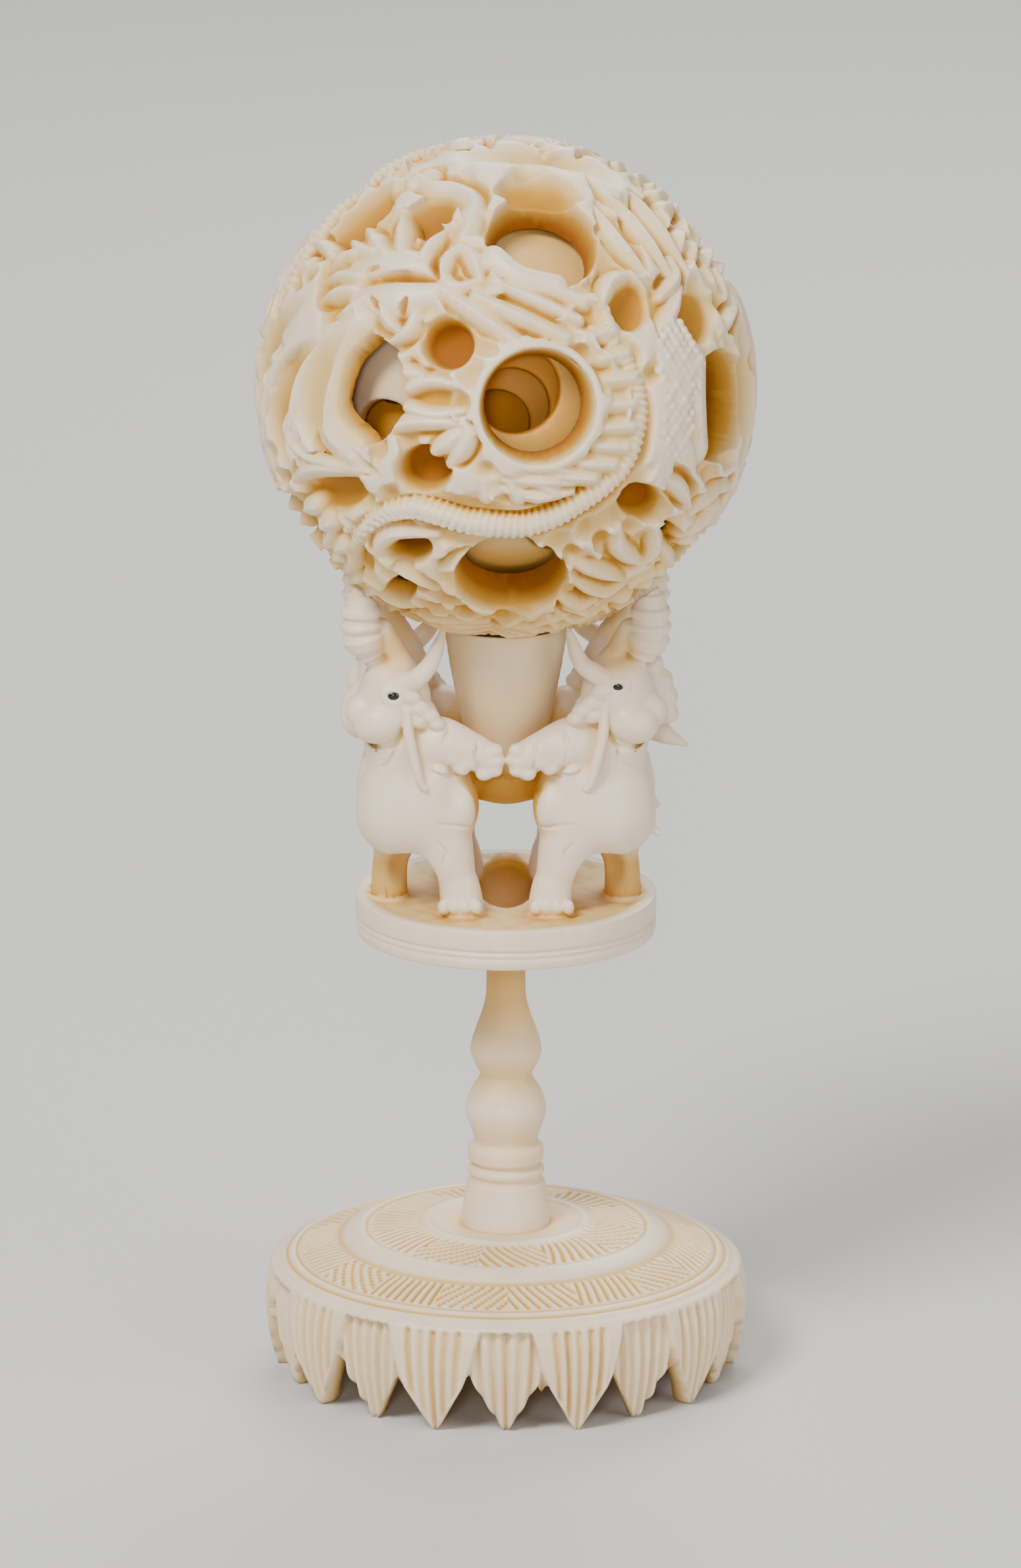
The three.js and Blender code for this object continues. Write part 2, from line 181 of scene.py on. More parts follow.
def smooth_curve(points, steps):
    """Points along a smooth curve through the given points, about evenly spaced."""
    points = np.array(points, float)
    before = np.vstack([2 * points[0] - points[1], points, 2 * points[-1] - points[-2]])
    made = []
    for i in range(len(points) - 1):
        p0, p1, p2, p3 = before[i:i + 4]
        for t in np.arange(0, 1, 1.0 / steps):
            made.append(0.5 * (2 * p1 + (p2 - p0) * t + (2 * p0 - 5 * p1 + 4 * p2 - p3) * t * t
                               + (3 * p1 - p0 - 3 * p2 + p3) * t ** 3))
    made.append(points[-1])
    return np.array(made)


def stroke(clay, points, radii, blend=0.3, flat=1.0, middle=None, ripple=None, steps=6, carve=False,
           sharp=False, base=0.0):
    """A strand along a smooth curve, joined to the clay or carved from it.

    flat is the strand's width over its height, its height being away from the middle point.
    ripple is (depth, pitch, slant): rings cut across the strand, slanted over its width.
    A sharp strand has a crest like a roof, and with a base it stands on walls that widen downwards.
    """
    path = smooth_curve(points, steps)
    lengths = np.linalg.norm(np.diff(path, axis=0), axis=1)
    along = np.concatenate([[0], np.cumsum(lengths)])
    sizes = np.interp(along / along[-1], np.linspace(0, 1, len(radii)), radii)
    tall = 1 / min(1.0, flat)
    margin = max(float(max(radii)) * tall, base) + blend + 2 * clay.step
    slices, _ = clay.window(path.min(0) - margin, path.max(0) + margin)
    if slices is None:
        return
    start = np.array([s.start for s in slices])
    local = np.full(tuple(s.stop - s.start for s in slices), FAR, np.float32)
    rings = np.zeros_like(local)
    for i in range(len(path) - 1):
        a, b = path[i], path[i + 1]
        size = max(max(sizes[i], sizes[i + 1]) * tall, base) + blend + 2 * clay.step
        inner, (x, y, z) = clay.window(np.minimum(a, b) - size, np.maximum(a, b) + size)
        if inner is None:
            continue
        d = (b - a).astype(np.float32)
        length = float(lengths[i]) + 1e-6
        x, y, z = x - np.float32(a[0]), y - np.float32(a[1]), z - np.float32(a[2])
        t = np.clip((x * d[0] + y * d[1] + z * d[2]) / length ** 2, 0, 1)
        qx, qy, qz = x - t * d[0], y - t * d[1], z - t * d[2]
        square = qx * qx + qy * qy + qz * qz
        radius = sizes[i] + t * (sizes[i + 1] - sizes[i])
        if middle is not None:
            away = unit((a + b) / 2 - middle).astype(np.float32)
            height = qx * away[0] + qy * away[1] + qz * away[2]
        if sharp:
            sideways = np.sqrt(np.maximum(square - height * height, 0))
            if base:
                walls = (sideways + flat * np.maximum(height, 0)
                         + BASE_SPREAD * np.minimum(height, 0) - radius)
                distance = np.maximum(walls / math.sqrt(1 + flat * flat), -height - base)
            else:
                distance = (sideways + flat * np.abs(height) - radius) / math.sqrt(1 + flat * flat)
        else:
            if flat != 1.0:
                square = square + (flat * flat - 1) * height * height
            distance = np.sqrt(square) - radius
            if flat > 1.0:
                distance = distance / (1 + (flat - 1) * 0.5)
        box = tuple(slice(s.start - o, s.stop - o) for s, o in zip(inner, start))
        if ripple is not None:
            _, pitch, slant = ripple
            side = 0.0
            if middle is not None and slant:
                across = np.cross(d / length, away)
                side = (qx * across[0] + qy * across[1] + qz * across[2]) / radius
            place = (along[i] + t * length) / pitch + slant * side
            rings[box] = np.where(distance < local[box], place, rings[box])
        np.minimum(local[box], distance, out=local[box])
    if ripple is not None:
        local += ripple[0] * (0.5 - 0.5 * np.cos(2 * np.pi * rings))
    clay.put(slices, local, blend, carve)


def egg(clay, centre, radii, blend=0.5, tilt=0.0, carve=False):
    """An ellipsoid, tilted about Y, in degrees."""
    centre = np.array(centre, float)
    reach = max(radii) + blend + 2 * clay.step
    slices, places = clay.window(centre - reach, centre + reach)
    if slices is None:
        return
    x, y, z = (p - np.float32(c) for p, c in zip(places, centre))
    c, s = math.cos(math.radians(tilt)), math.sin(math.radians(tilt))
    x, z = x * c - z * s, z * c + x * s
    a, b, d = (np.float32(r) for r in radii)
    near = np.sqrt((x / a) ** 2 + (y / b) ** 2 + (z / d) ** 2) + 1e-6
    slope = np.sqrt((x / a ** 2) ** 2 + (y / b ** 2) ** 2 + (z / d ** 2) ** 2) + 1e-6
    distance = near * (near - 1) / slope
    clay.put(slices, distance, blend, carve)


# Places on the ball

HOLES_SEEN = ((0.13, -0.108), (0.15, 0.57), (-0.6, -0.03), (0.88, -0.09), (0.02, -0.8))
# How far two more holes lean away from the front one
LEAN_RIGHT = 1.35
LEAN_LEFT = 1.63
HOLE_BLEND = 0.15
# From where and how far out the holes are cut, from the ball's middle
HOLE_NEAR, HOLE_FAR = 12.0, 34.0
INNER_HOLE_NEAR = 4.0


def unit(direction):
    return direction / np.linalg.norm(direction)


def seen(right, up):
    """The direction from the ball's middle to a place on it, seen as in the photo."""
    towards = math.sqrt(max(0.0, 1 - right * right - up * up))
    back, rise = math.cos(VIEW_TILT), math.sin(VIEW_TILT)
    return unit(np.array([right, up * rise - towards * back, up * back + towards * rise]))


def on_ball(places, radius, sign=1):
    return [BALL_CENTRE + sign * radius * seen(*place) for place in places]


def hole_axes():
    """Fourteen directions, each followed by its opposite: front, top, left, right, low, two between."""
    front, top, left, right, low = (seen(*place) for place in HOLES_SEEN)
    between = [unit(top + right - LEAN_RIGHT * front), unit(top + left - LEAN_LEFT * front)]
    return [sign * axis for axis in [front, top, left, right, low] + between for sign in (1, -1)]


def depth_and_width(direction, places, height):
    """How far places reach along a direction from the ball's middle, and away from it."""
    depth = sum(p * d for p, d in zip(places, direction))
    return depth, np.sqrt(np.maximum(height ** 2 - depth ** 2, 0))


def cone_hole(clay, direction, near, far):
    """A hole that narrows towards the middle of the ball."""
    reach = np.abs(direction) * (far - near) / 2 + far * HOLE_SPREAD + 1
    slices, places, height = clay.from_middle(BALL_CENTRE + direction * (near + far) / 2, reach)
    depth, wide = depth_and_width(direction, places, height)
    distance = np.maximum((wide - depth * HOLE_SPREAD) * math.cos(HOLE_ANGLE), near - depth)
    clay.put(slices, distance, HOLE_BLEND, carve=True)


# Meshes

def mesh_from(points, faces, name):
    """A mesh in metres from points in millimetres and triangles or quads."""
    mesh = bpy.data.meshes.new(name)
    corners = faces.shape[1]
    mesh.vertices.add(len(points))
    mesh.vertices.foreach_set("co", (points * METRES).astype(np.float32).ravel())
    mesh.loops.add(faces.size)
    mesh.loops.foreach_set("vertex_index", faces.astype(np.int32).ravel())
    mesh.polygons.add(len(faces))
    mesh.polygons.foreach_set("loop_start", (np.arange(len(faces)) * corners).astype(np.int32))
    mesh.update(calc_edges=True)
    mesh.validate()
    return mesh


def object_of(data, name):
    made = bpy.data.objects.new(name, data)
    bpy.context.scene.collection.objects.link(made)
    return made


def surface_of(clay, name, most_faces):
    """The surface of the clay as an object with at most so many triangles."""
    grid = openvdb.FloatGrid(FAR)
    grid.copyFromArray(np.clip(clay.field, -FAR, FAR))
    grid.transform = openvdb.createLinearTransform(voxelSize=clay.step)
    points, _, quads = grid.convertToPolygons(isovalue=0.0, adaptivity=0.0)
    points = np.asarray(points, float) + clay.low
    quads = np.asarray(quads)
    faces = np.vstack([quads[:, [0, 1, 2]], quads[:, [0, 2, 3]]])
    made = object_of(mesh_from(points, faces, name), name)
    if len(faces) > most_faces:
        fewer = made.modifiers.new("fewer faces", "DECIMATE")
        fewer.ratio = most_faces / len(faces)
        made = applied(made)
    return made


def applied(made):
    """The object with its modifiers made part of its mesh."""
    graph = bpy.context.evaluated_depsgraph_get()
    mesh = bpy.data.meshes.new_from_object(made.evaluated_get(graph))
    made.modifiers.clear()
    made.data = mesh
    return made


def of_vertices(made, what):
    """The places or the normals of an object's vertices, as the mesh has them."""
    values = np.zeros(len(made.data.vertices) * 3, np.float32)
    made.data.vertices.foreach_get(what, values)
    return values.reshape(-1, 3)


def vertex_places(made):
    return of_vertices(made, "co") / METRES


def smooth_shaded(mesh):
    mesh.polygons.foreach_set("use_smooth", np.ones(len(mesh.polygons), bool))


def keep_tones(made, tones):
    """Keeps on each vertex how dark its ivory is painted, mostly as painted shade."""
    layer = made.data.attributes.new("hollow", "FLOAT", "POINT")
    layer.data.foreach_set("value", np.asarray(tones, np.float32))
    smooth_shaded(made.data)


# Painted shade, which also stands for the patina of the hollows: the tone of carved ivory grows with the
# share of ivory near each point and further round it
SHADE_LIFT = 0.4
SHADE_REACHES = (0.8, 2.2)
OPEN_SHARE = 0.38
NEAR_SHADE = 0.9
WIDE_SHADE = 1.1
MOST_SHADE = 0.6


def shade_hollows(made, clay, added):
    """Keeps on each vertex how enclosed it is, as painted shade, and some added tone."""
    outside = vertex_places(made) + of_vertices(made, "normal") * SHADE_LIFT
    near, wide = (clay.solid_share(outside, reach) - OPEN_SHARE for reach in SHADE_REACHES)
    keep_tones(made, np.clip(NEAR_SHADE * near + WIDE_SHADE * wide, 0, 1) * MOST_SHADE + added)


def finish_piece(made, material, slot, *nodes):
    made.data.materials.clear()
    made.data.materials.append(material)
    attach(made, "root")
    if nodes:
        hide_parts(*nodes)


# Materials

IVORY_SHADER = {
    "Subsurface Weight": 0.22,
    "Subsurface Radius": (1.0, 0.7, 0.4),
    "Subsurface Scale": 0.001,
    "IOR": 1.54,
    "Specular IOR Level": 0.34,
}
# Tones at which the colours lie, from ivory that stands proud to ivory that is enclosed, whose honey and
# brown are painted shade and patina
TONE_STOPS = (0.1, 0.32, 0.6, 1)
IVORY_COLOURS = ((0.83, 0.69, 0.52), (0.76, 0.54, 0.23), (0.56, 0.28, 0.02), (0.30, 0.10, 0.003))
# The inner balls' colours, warmer and more saturated than the outer ball's: a painted glow and shade of the
# light inside the ball
SHADED_COLOURS = ((0.80, 0.62, 0.40), (0.72, 0.43, 0.10), (0.62, 0.25, 0.01), (0.42, 0.115, 0.002))
CLOUDINESS = 0.14
GRAIN_STRETCH = (9, 9, 1.2)
GRAIN_COLOUR = (0.80, 0.72, 0.60)
GRAIN_STRENGTH = 0.18
POLISHED, DULL = 0.34, 0.95
INLAY_SHADER = {"Base Color": (0.012, 0.009, 0.008, 1), "Roughness": 0.18}
FLOOR_SHADER = {"Base Color": (0.62, 0.61, 0.59, 1), "Roughness": 0.85}


def plain_material(name, values):
    """A material with some values of its shader, and the shader."""
    material = bpy.data.materials.new(name)
    material.use_nodes = True
    shader = material.node_tree.nodes["Principled BSDF"]
    for socket, value in values.items():
        shader.inputs[socket].default_value = value
    return material, shader


def ivory_material(name, colours):
    """Ivory: cream where it stands proud, honey and brown where it is enclosed, as painted shade and
    patina.
    """
    material, shader = plain_material(name, IVORY_SHADER)
    nodes, links = material.node_tree.nodes, material.node_tree.links

    def node(kind, values, linked):
        made = nodes.new("ShaderNode" + kind)
        for socket, value in values.items():
            made.inputs[socket].default_value = value
        for socket, source in linked.items():
            links.new(source, made.inputs[socket])
        return made

    def ramp(source, *stops):
        made = node("ValToRGB", {}, {"Fac": source})
        elements = made.color_ramp.elements
        elements[0].position, elements[1].position = stops[0][0], stops[-1][0]
        for position, _ in stops[1:-1]:
            elements.new(position)
        for element, (_, colour) in zip(elements, stops):
            element.color = (*colour, 1)
        return made.outputs["Color"]

    def noise(scale, detail, place):
        return node("TexNoise", {"Scale": scale, "Detail": detail}, {"Vector": place}).outputs["Fac"]

    hollow = nodes.new("ShaderNodeAttribute")
    hollow.attribute_name = "hollow"
    place = nodes.new("ShaderNodeTexCoord").outputs["Object"]
    # The tone from the hollow attribute, painted shade and patina, made uneven by noise
    uneven = node("Math", {1: CLOUDINESS}, {0: noise(90, 3, place), 2: hollow.outputs["Fac"]})
    uneven.operation = "MULTIPLY_ADD"
    uneven = uneven.outputs[0]
    tone = ramp(uneven, *zip(TONE_STOPS, colours))

    along_grain = node("Mapping", {"Scale": GRAIN_STRETCH}, {"Vector": place}).outputs["Vector"]
    grain = ramp(noise(55, 6, along_grain), (0.35, GRAIN_COLOUR), (0.6, (1, 1, 1)))
    tinted = nodes.new("ShaderNodeMix")
    tinted.data_type = "RGBA"
    tinted.blend_type = "MULTIPLY"
    tinted.inputs["Factor"].default_value = GRAIN_STRENGTH
    links.new(tone, tinted.inputs["A"])
    links.new(grain, tinted.inputs["B"])
    links.new(tinted.outputs["Result"], shader.inputs["Base Color"])

    rough = node("MapRange", {"To Min": POLISHED, "To Max": DULL}, {"Value": uneven})
    links.new(rough.outputs["Result"], shader.inputs["Roughness"])
    bump = node("Bump", {"Strength": 0.12, "Distance": 0.0002}, {"Height": noise(900, 4, place)})
    links.new(bump.outputs["Normal"], shader.inputs["Normal"])
    return material


IVORY = ivory_material("ivory", IVORY_COLOURS)
SHADED_IVORY = ivory_material("inner_ivory", SHADED_COLOURS)
INLAY, _ = plain_material("eye_inlay", INLAY_SHADER)
FLOOR, _ = plain_material("floor", FLOOR_SHADER)


# Foot: a grid of rings and columns from the collar out to the leaf tips and back underneath

LEAF_COUNT = 20
TIP_RADIUS = 25.6
LEAF_PITCH = 2 * math.pi * TIP_RADIUS / LEAF_COUNT
# Half widths of the leaves and the heights where they have them, from the tip up
WIDE_LEAF = ((0.2, 3.1, 3.9, 5.2), (0.0, 5.0, 7.0, 12.0))
NARROW_LEAF = ((0.2, 2.5, 4.1), (0.0, 3.8, 6.8))
FLUTED_HALF = 3.3
SET_BACK = 0.8
LEAF_TOP = 12.0
LEAF_FADE = 0.5
LEAF_SIDE = 0.2
FLUTE_PITCH = 1.5
FLUTE_DEPTH = 0.95
FLUTE_SHARE = 0.75
FLUTE_MARGIN = 0.15
# How much closer the flutes lie at the tip
DRAWN_IN = 0.3
# The lowest point of the row behind, and how steeply its points rise
HIDDEN_TIP = 4.6
HIDDEN_SLOPE = 1.5
RIM_THICKNESS = 2.4
RIM_BEVEL = (0.8, 0.3)
RECESS_HEIGHT = 9.8
RECESS_RADII = (24.3, 12.0, 0.0)
# Painted shade on the inside of the rim and in the recess under the foot
UNDERSIDE_TONES = (0.3, 0.35, 0.5, 0.5, 0.5)
FOOT_TOP_PROFILE = [
    (0, 16.5), (5, 16.72), (6.6, 16.68), (8.2, 16.8), (8.7, 17.12), (9.1, 17.2), (9.4, 17), (9.7, 16.85),
    (12.4, 16.6), (15.3, 16.15), (15.55, 15.9), (15.75, 16.2), (16.1, 16.3), (17.1, 15.95),
    (18.1, 15.45), (18.35, 15.2), (18.55, 14.8), (18.8, 15), (21, 14.4), (23.2, 13.6), (23.4, 13.2),
    (23.65, 13.5), (24.3, 13.25), (24.55, 12.85), (24.8, 13), (25.5, 12.45), (26.1, 12.3),
    (26.45, LEAF_TOP),
]
SKIRT_PROFILE = [(26.45, LEAF_TOP), (26.9, 10.2), (27, 7.6), (26.75, 5), (26.2, 2.4), (25.55, 0)]
# Tones on the top and the skirt: a small tone on the plain top and on the leaves, and painted shade in the
# grooves of the top at these radii, in the flutes of the narrow and the wide leaves and in the cuts of the
# hatching
GROOVE_TONES = (
    (5, 5.5, 8.4, 9.2, 9.6, 15.3, 15.6, 15.9, 18.3, 18.6, 18.9, 23.2, 23.4, 23.6, 24.3, 24.55, 24.8),
    (0.35, 0.15, 0.02, 0, 0.02, 0.02, 0.42, 0, 0, 0.5, 0.02, 0.02, 0.5, 0, 0, 0.5, 0),
)
PLAIN_TONE = 0.04
LEAF_TONE = 0.07
NARROW_TONE = 0.12
WIDE_TONE = 0.26
HATCH_TONE = 0.52
# Bands of cuts: inner radius, outer radius and number of groups, and the slants of the groups
HATCH_BANDS = ((9.8, 15.3, 11), (18.9, 23.1, 17))
HATCH_SLANTS = (34, -22, 52, 8, -46, 26, -10, 44, -34, 18, -54, 2, 38, -28, 12, -40, 30)
HATCH_START = 0.013
HATCH_EDGE = 0.2
HATCH_DEPTH = 0.3
HATCH_PITCH = 0.98


def leaf_distances(place):
    """Distances from the middles of the nearest wide leaf and the nearest narrow leaf."""
    return [np.mod(place + shift, 2 * LEAF_PITCH) - LEAF_PITCH for shift in (0, LEAF_PITCH)]


def leaf_edge(place):
    """Height of the lower edge of the skirt at a place along the rim."""
    wide, narrow = leaf_distances(place)
    return np.minimum(np.interp(np.abs(wide), *WIDE_LEAF), np.interp(np.abs(narrow), *NARROW_LEAF))


def hidden_point(place):
    """A small second row of points that shows through every other gap."""
    gap = np.mod(place - LEAF_PITCH / 2, 2 * LEAF_PITCH)
    gap = np.minimum(gap, 2 * LEAF_PITCH - gap)
    return HIDDEN_TIP + HIDDEN_SLOPE * gap


def flute(local, height, number):
    """Depth of the upright V cuts, which draw together towards the tip."""
    drawn_in = 1 - DRAWN_IN * np.clip(1 - height / LEAF_TOP, 0, 1)
    pitch = FLUTE_PITCH * drawn_in * (1 + 0.1 * np.sin(number * 2.3))
    wave = np.abs(np.mod(local / pitch, 1) * 2 - 1)
    uneven = 0.8 + 0.2 * np.sin(local * 1.9 + number * 1.7)
    return FLUTE_DEPTH * np.clip(1 - (1 - wave) / FLUTE_SHARE, 0, 1) * uneven


def leaf_relief(place, height):
    """How far the skirt is cut back, and its tone, painted shade in the flutes: the narrow leaves lie
    behind the wide ones.
    """
    wide, narrow = leaf_distances(place)
    border = np.interp(height, WIDE_LEAF[1], WIDE_LEAF[0])
    behind = np.clip((np.abs(wide) - border) / LEAF_SIDE, 0, 1)
    fluted_half = np.minimum(FLUTED_HALF, border - FLUTE_MARGIN)
    fluted = np.clip((fluted_half - np.abs(wide)) / FLUTE_MARGIN, 0, 1)
    fade = np.clip((LEAF_TOP - height) / LEAF_FADE, 0, 1)
    on_wide = flute(wide, height, np.round((place - wide) / LEAF_PITCH)) * fluted
    on_narrow = flute(narrow, height, np.round((place - narrow) / LEAF_PITCH))
    cut = fade * np.where(behind > 0, behind * (SET_BACK + on_narrow), on_wide)
    flute_tone = fade * np.where(behind > 0, NARROW_TONE * on_narrow, WIDE_TONE * on_wide) / FLUTE_DEPTH
    return cut, LEAF_TONE + flute_tone


def hatching(radius, angle):
    """Straight cuts in groups, each group at another slant."""
    sunk = np.zeros_like(angle)
    for inner, outer, groups in HATCH_BANDS:
        within = (np.clip((radius - inner) / HATCH_EDGE, 0, 1)
                  * np.clip((outer - radius) / HATCH_EDGE, 0, 1))
        turn = np.mod(angle / (2 * np.pi) + HATCH_START, 1) * groups
        group = np.floor(turn)
        slant = np.radians(HATCH_SLANTS)[group.astype(int) % len(HATCH_SLANTS)]
        middle = (inner + outer) / 2
        along = (turn - group - 0.5) * 2 * np.pi * middle / groups
        cut = along * np.cos(slant) + (radius - middle) * np.sin(slant)
        wave = np.abs(np.mod(cut / HATCH_PITCH, 1) * 2 - 1)
        sunk += HATCH_DEPTH * within * np.clip(1.2 - 2.0 * wave, 0, 1)
    return sunk


def along_profile(profile, count):
    outline = np.array(profile)
    lengths = np.concatenate([[0], np.cumsum(np.linalg.norm(np.diff(outline, axis=0), axis=1))])
    spots = np.linspace(0, lengths[-1], count)
    return np.interp(spots, lengths, outline[:, 0]), np.interp(spots, lengths, outline[:, 1])


def angles_round(columns):
    return np.arange(columns) * 2 * np.pi / columns


def turned(rings, columns, name, upwards=False):
    """An object of rings round the axis, each given by its radius and its height."""
    angle = angles_round(columns)
    points = [np.stack([r * np.cos(angle), r * np.sin(angle), h + 0 * angle], -1) for r, h in rings]
    first = np.arange(len(rings) - 1)[:, None] * columns
    here = np.arange(columns)[None, :]
    after = (here + 1) % columns
    corners = [first + here, first + columns + here, first + columns + after, first + after]
    faces = np.stack(corners, axis=-1).reshape(-1, 4)
    return object_of(mesh_from(np.concatenate(points), faces[:, ::-1] if upwards else faces, name), name)


def skirt_radius(height):
    radii, heights = np.array(SKIRT_PROFILE).T
    return np.interp(-height, -heights, radii)


def make_foot():
    angle = angles_round(FOOT_COLUMNS)
    place = (angle + math.pi / 2) * TIP_RADIUS
    rings, tones = [], []

    radii, heights = along_profile(FOOT_TOP_PROFILE, FOOT_TOP_ROWS)
    for radius, height, groove in zip(radii, heights, np.interp(radii, *GROOVE_TONES)):
        sunk = hatching(radius, angle)
        rings.append((radius, height - sunk))
        # Painted shade in the grooves and in the cuts of the hatching
        tones.append(PLAIN_TONE + groove + sunk / HATCH_DEPTH * HATCH_TONE)

    edge = leaf_edge(place)
    for share in np.linspace(0, 1, SKIRT_ROWS)[1:]:
        height = LEAF_TOP - share * (LEAF_TOP - edge)
        cut, tone = leaf_relief(place, height)
        rings.append((skirt_radius(height) - cut, height))
        tones.append(tone)

    inside_edge = np.minimum(edge, hidden_point(place))
    inside_radius = skirt_radius(inside_edge) - RIM_THICKNESS
    rings += [(inside_radius + RIM_BEVEL[0], inside_edge), (inside_radius, inside_edge + RIM_BEVEL[1])]
    rings += [(radius, RECESS_HEIGHT) for radius in RECESS_RADII]
    # Painted shade on the inside of the rim and in the recess
    tones += [np.full(FOOT_COLUMNS, tone) for tone in UNDERSIDE_TONES]

    made = turned(rings, FOOT_COLUMNS, "foot_carved")
    keep_tones(made, np.concatenate(tones))
    return made


# Stem: turned, with rings

STEM_PROFILE = [
    (0, 15.5), (4.9, 15.6), (4.95, 17.1), (4.92, 18), (4.75, 19.2), (4.55, 20.4), (4.4, 21.5),
    (4.1, 21.75), (3.98, 22.1), (4.1, 22.45), (4.3, 22.6), (4.32, 23.1), (4.1, 23.3), (3.75, 23.55),
    (3.72, 23.75), (4, 23.95), (4.2, 24.15), (4.25, 25.2), (4.2, 25.6), (3.9, 25.85), (3.5, 26.2),
    (3.55, 26.7), (3.85, 27.5), (4.2, 28.5), (4.45, 29.4), (4.53, 29.95), (4.45, 30.6), (4.15, 31.6),
    (3.6, 32.7), (3.05, 33.5), (2.88, 33.9), (2.95, 34.2), (3.3, 34.9), (3.75, 35.8), (4, 36.7),
    (3.98, 37.2), (3.75, 38.2), (3.3, 39.5), (2.75, 41), (2.4, 42.2), (2.22, 43.2), (2.18, 45),
    (2.2, 49.8), (2.35, 50.6), (2.4, 50.9), (0, 50.95),
]


# Painted shade, as tones at radii, where narrow necks are darker, and at heights, up the topmost neck under
# the platform
STEM_TONES = ((2.2, 3.6, 4.6), (0.3, 0.14, 0.04))
NECK_TONES = ((40.0, 46.0), (0.0, 0.1))


def make_stem():
    radii, heights = along_profile(STEM_PROFILE, STEM_ROWS)
    made = turned(list(zip(radii, heights)), STEM_COLUMNS, "stem_turned", upwards=True)
    tones = np.interp(radii, *STEM_TONES) + np.interp(heights, *NECK_TONES)
    keep_tones(made, np.repeat(tones, STEM_COLUMNS))
    return made


# Outer ball: an openwork shell with a dragon, leaves and clouds round its holes

GROUND_WAVES = 0.1
TRENCH_DEPTH = 2.5
TRENCH_MARGIN = 0.75
TRENCH_BLEND = 0.25
HOLE_RIM = 0.5
RIM_SUNK = 0.25
SHARP_BLEND = 0.1
FINE_BLEND = 0.05
ROUND_BLEND = 0.12
PIT_BLEND = 0.3
# Height of a crest over its half width
CREST_HEIGHT = 0.9
# How far down the walls of the ridges reach
RIDGE_BASE = 2.0
MANE_BASE = 2.0
CREST_BASE = 0.9
OVERHANG_BASE = 2.2
# Bowls: heights of the floors from the ball's middle, how they round up, and how far they stretch
BOWL_FLOOR = 23.4
SHALLOW_FLOOR = 24.9
BOWL_FLARE = 0.06
BOWL_ROUND = 0.35
PIT_ROUND = 1.2
LEAST_FACING = 0.12
# Gouges: their number, the ground kept whole at the front and back holes and at the others, in
# radians, and their turn, half length, half width and depth, each with how much it varies
GOUGE_COUNT = 900
WHOLE_AT_FRONT = 0.035
WHOLE_AT_OTHERS = -0.02
GOUGE_TURN = 0.7
GOUGE_BOW = 0.012
GOUGE_LENGTH = (0.12, 0.03)
GOUGE_HALF_WIDTH = (1.6, 0.4)
GOUGE_DEPTH = (1.5, 0.5)
# Forms at the sides: places tried, least room in radians, pits and clouds, and bunches of leaves
SIDE_PLACES = 230
SIDE_ROOM = 0.06
SIDE_OVERLAP = 0.02
TURN_STEP = 2.4
PIT_SIZE = (2.5, 22)
PIT_FLOOR = BOWL_FLOOR + 0.3
CLOUD_SIZE = (2.4, 20)
CLOUD_HEIGHT = 0.7
CLOUD_TURNS = 3.0 * np.pi
CLOUD_RADII = [0.7, 0.75, 0.6, 0.4]
LEAF_SHIFTS = (-0.07, 0.0, 0.07)
LEAF_REACHES = (-0.14, 0, 0.14)
LEAF_HALF_WIDTH = 0.85
# What the gouges keep off, and the half widths that the dragon's parts take up
BROAD_VALLEY = 1.7
VALLEY_MARGIN = 0.2
PATCH_HALF_WIDTH = 3.6
HEAD_HALF_WIDTH = 3.6
BODY_HALF_WIDTH = 1.7
BEADED_HALF_WIDTH = 1.4
LEG_HALF_WIDTH = 1.3
SPIKE_HALF_WIDTH = 1.0
# Scales
SKIN_RADII = [1.4, 2.7, 2.5, 1.6]
SKIN_SUNK = 2.0
SCALE_SUNK = 0.62
SCALE_BLEND = 0.12
SCALE_EDGE = 0.93
ROW_SHARE = 0.85

DRAGON_BODY = [
    (-0.6, -0.75), (-0.61, -0.66), (-0.58, -0.6), (-0.5, -0.54), (-0.43, -0.52), (-0.36, -0.515),
    (-0.27, -0.54), (-0.17, -0.57), (-0.06, -0.585), (0.05, -0.59), (0.13, -0.575), (0.22, -0.54),
    (0.34, -0.47), (0.41, -0.42), (0.47, -0.36), (0.51, -0.29), (0.535, -0.2), (0.545, -0.12),
    (0.535, -0.04), (0.515, 0.03), (0.475, 0.1), (0.42, 0.16), (0.36, 0.2),
]
BODY_RADII = [0.9, 1.1, 1.25, 1.35, 1.5, 1.6, 1.65, 1.6, 1.55, 1.4, 1.25, 1.2, 1.2, 1.15, 1]
BEADED_BODY = [
    (-0.883, 0.352), (-0.843, 0.447), (-0.809, 0.515), (-0.755, 0.596), (-0.687, 0.684), (-0.599, 0.779),
    (-0.504, 0.854), (-0.409, 0.908), (-0.314, 0.949), (-0.206, 0.976),
]

# Stepped blocks on the inner side of the body: where each starts and where it ends
FINS = [
    ((0.43, 0.2), (0.33, 0.175)), ((0.48, 0.11), (0.385, 0.085)), ((0.51, 0.01), (0.41, 0)),
    ((0.51, -0.09), (0.41, -0.1)), ((0.505, -0.18), (0.4, -0.19)), ((0.48, -0.265), (0.375, -0.265)),
    ((0.43, -0.335), (0.31, -0.335)), ((0.35, -0.39), (0.21, -0.385)), ((0.2, -0.455), (0.13, -0.41)),
    ((0.05, -0.475), (0.02, -0.415)), ((-0.08, -0.47), (-0.09, -0.4)),
]

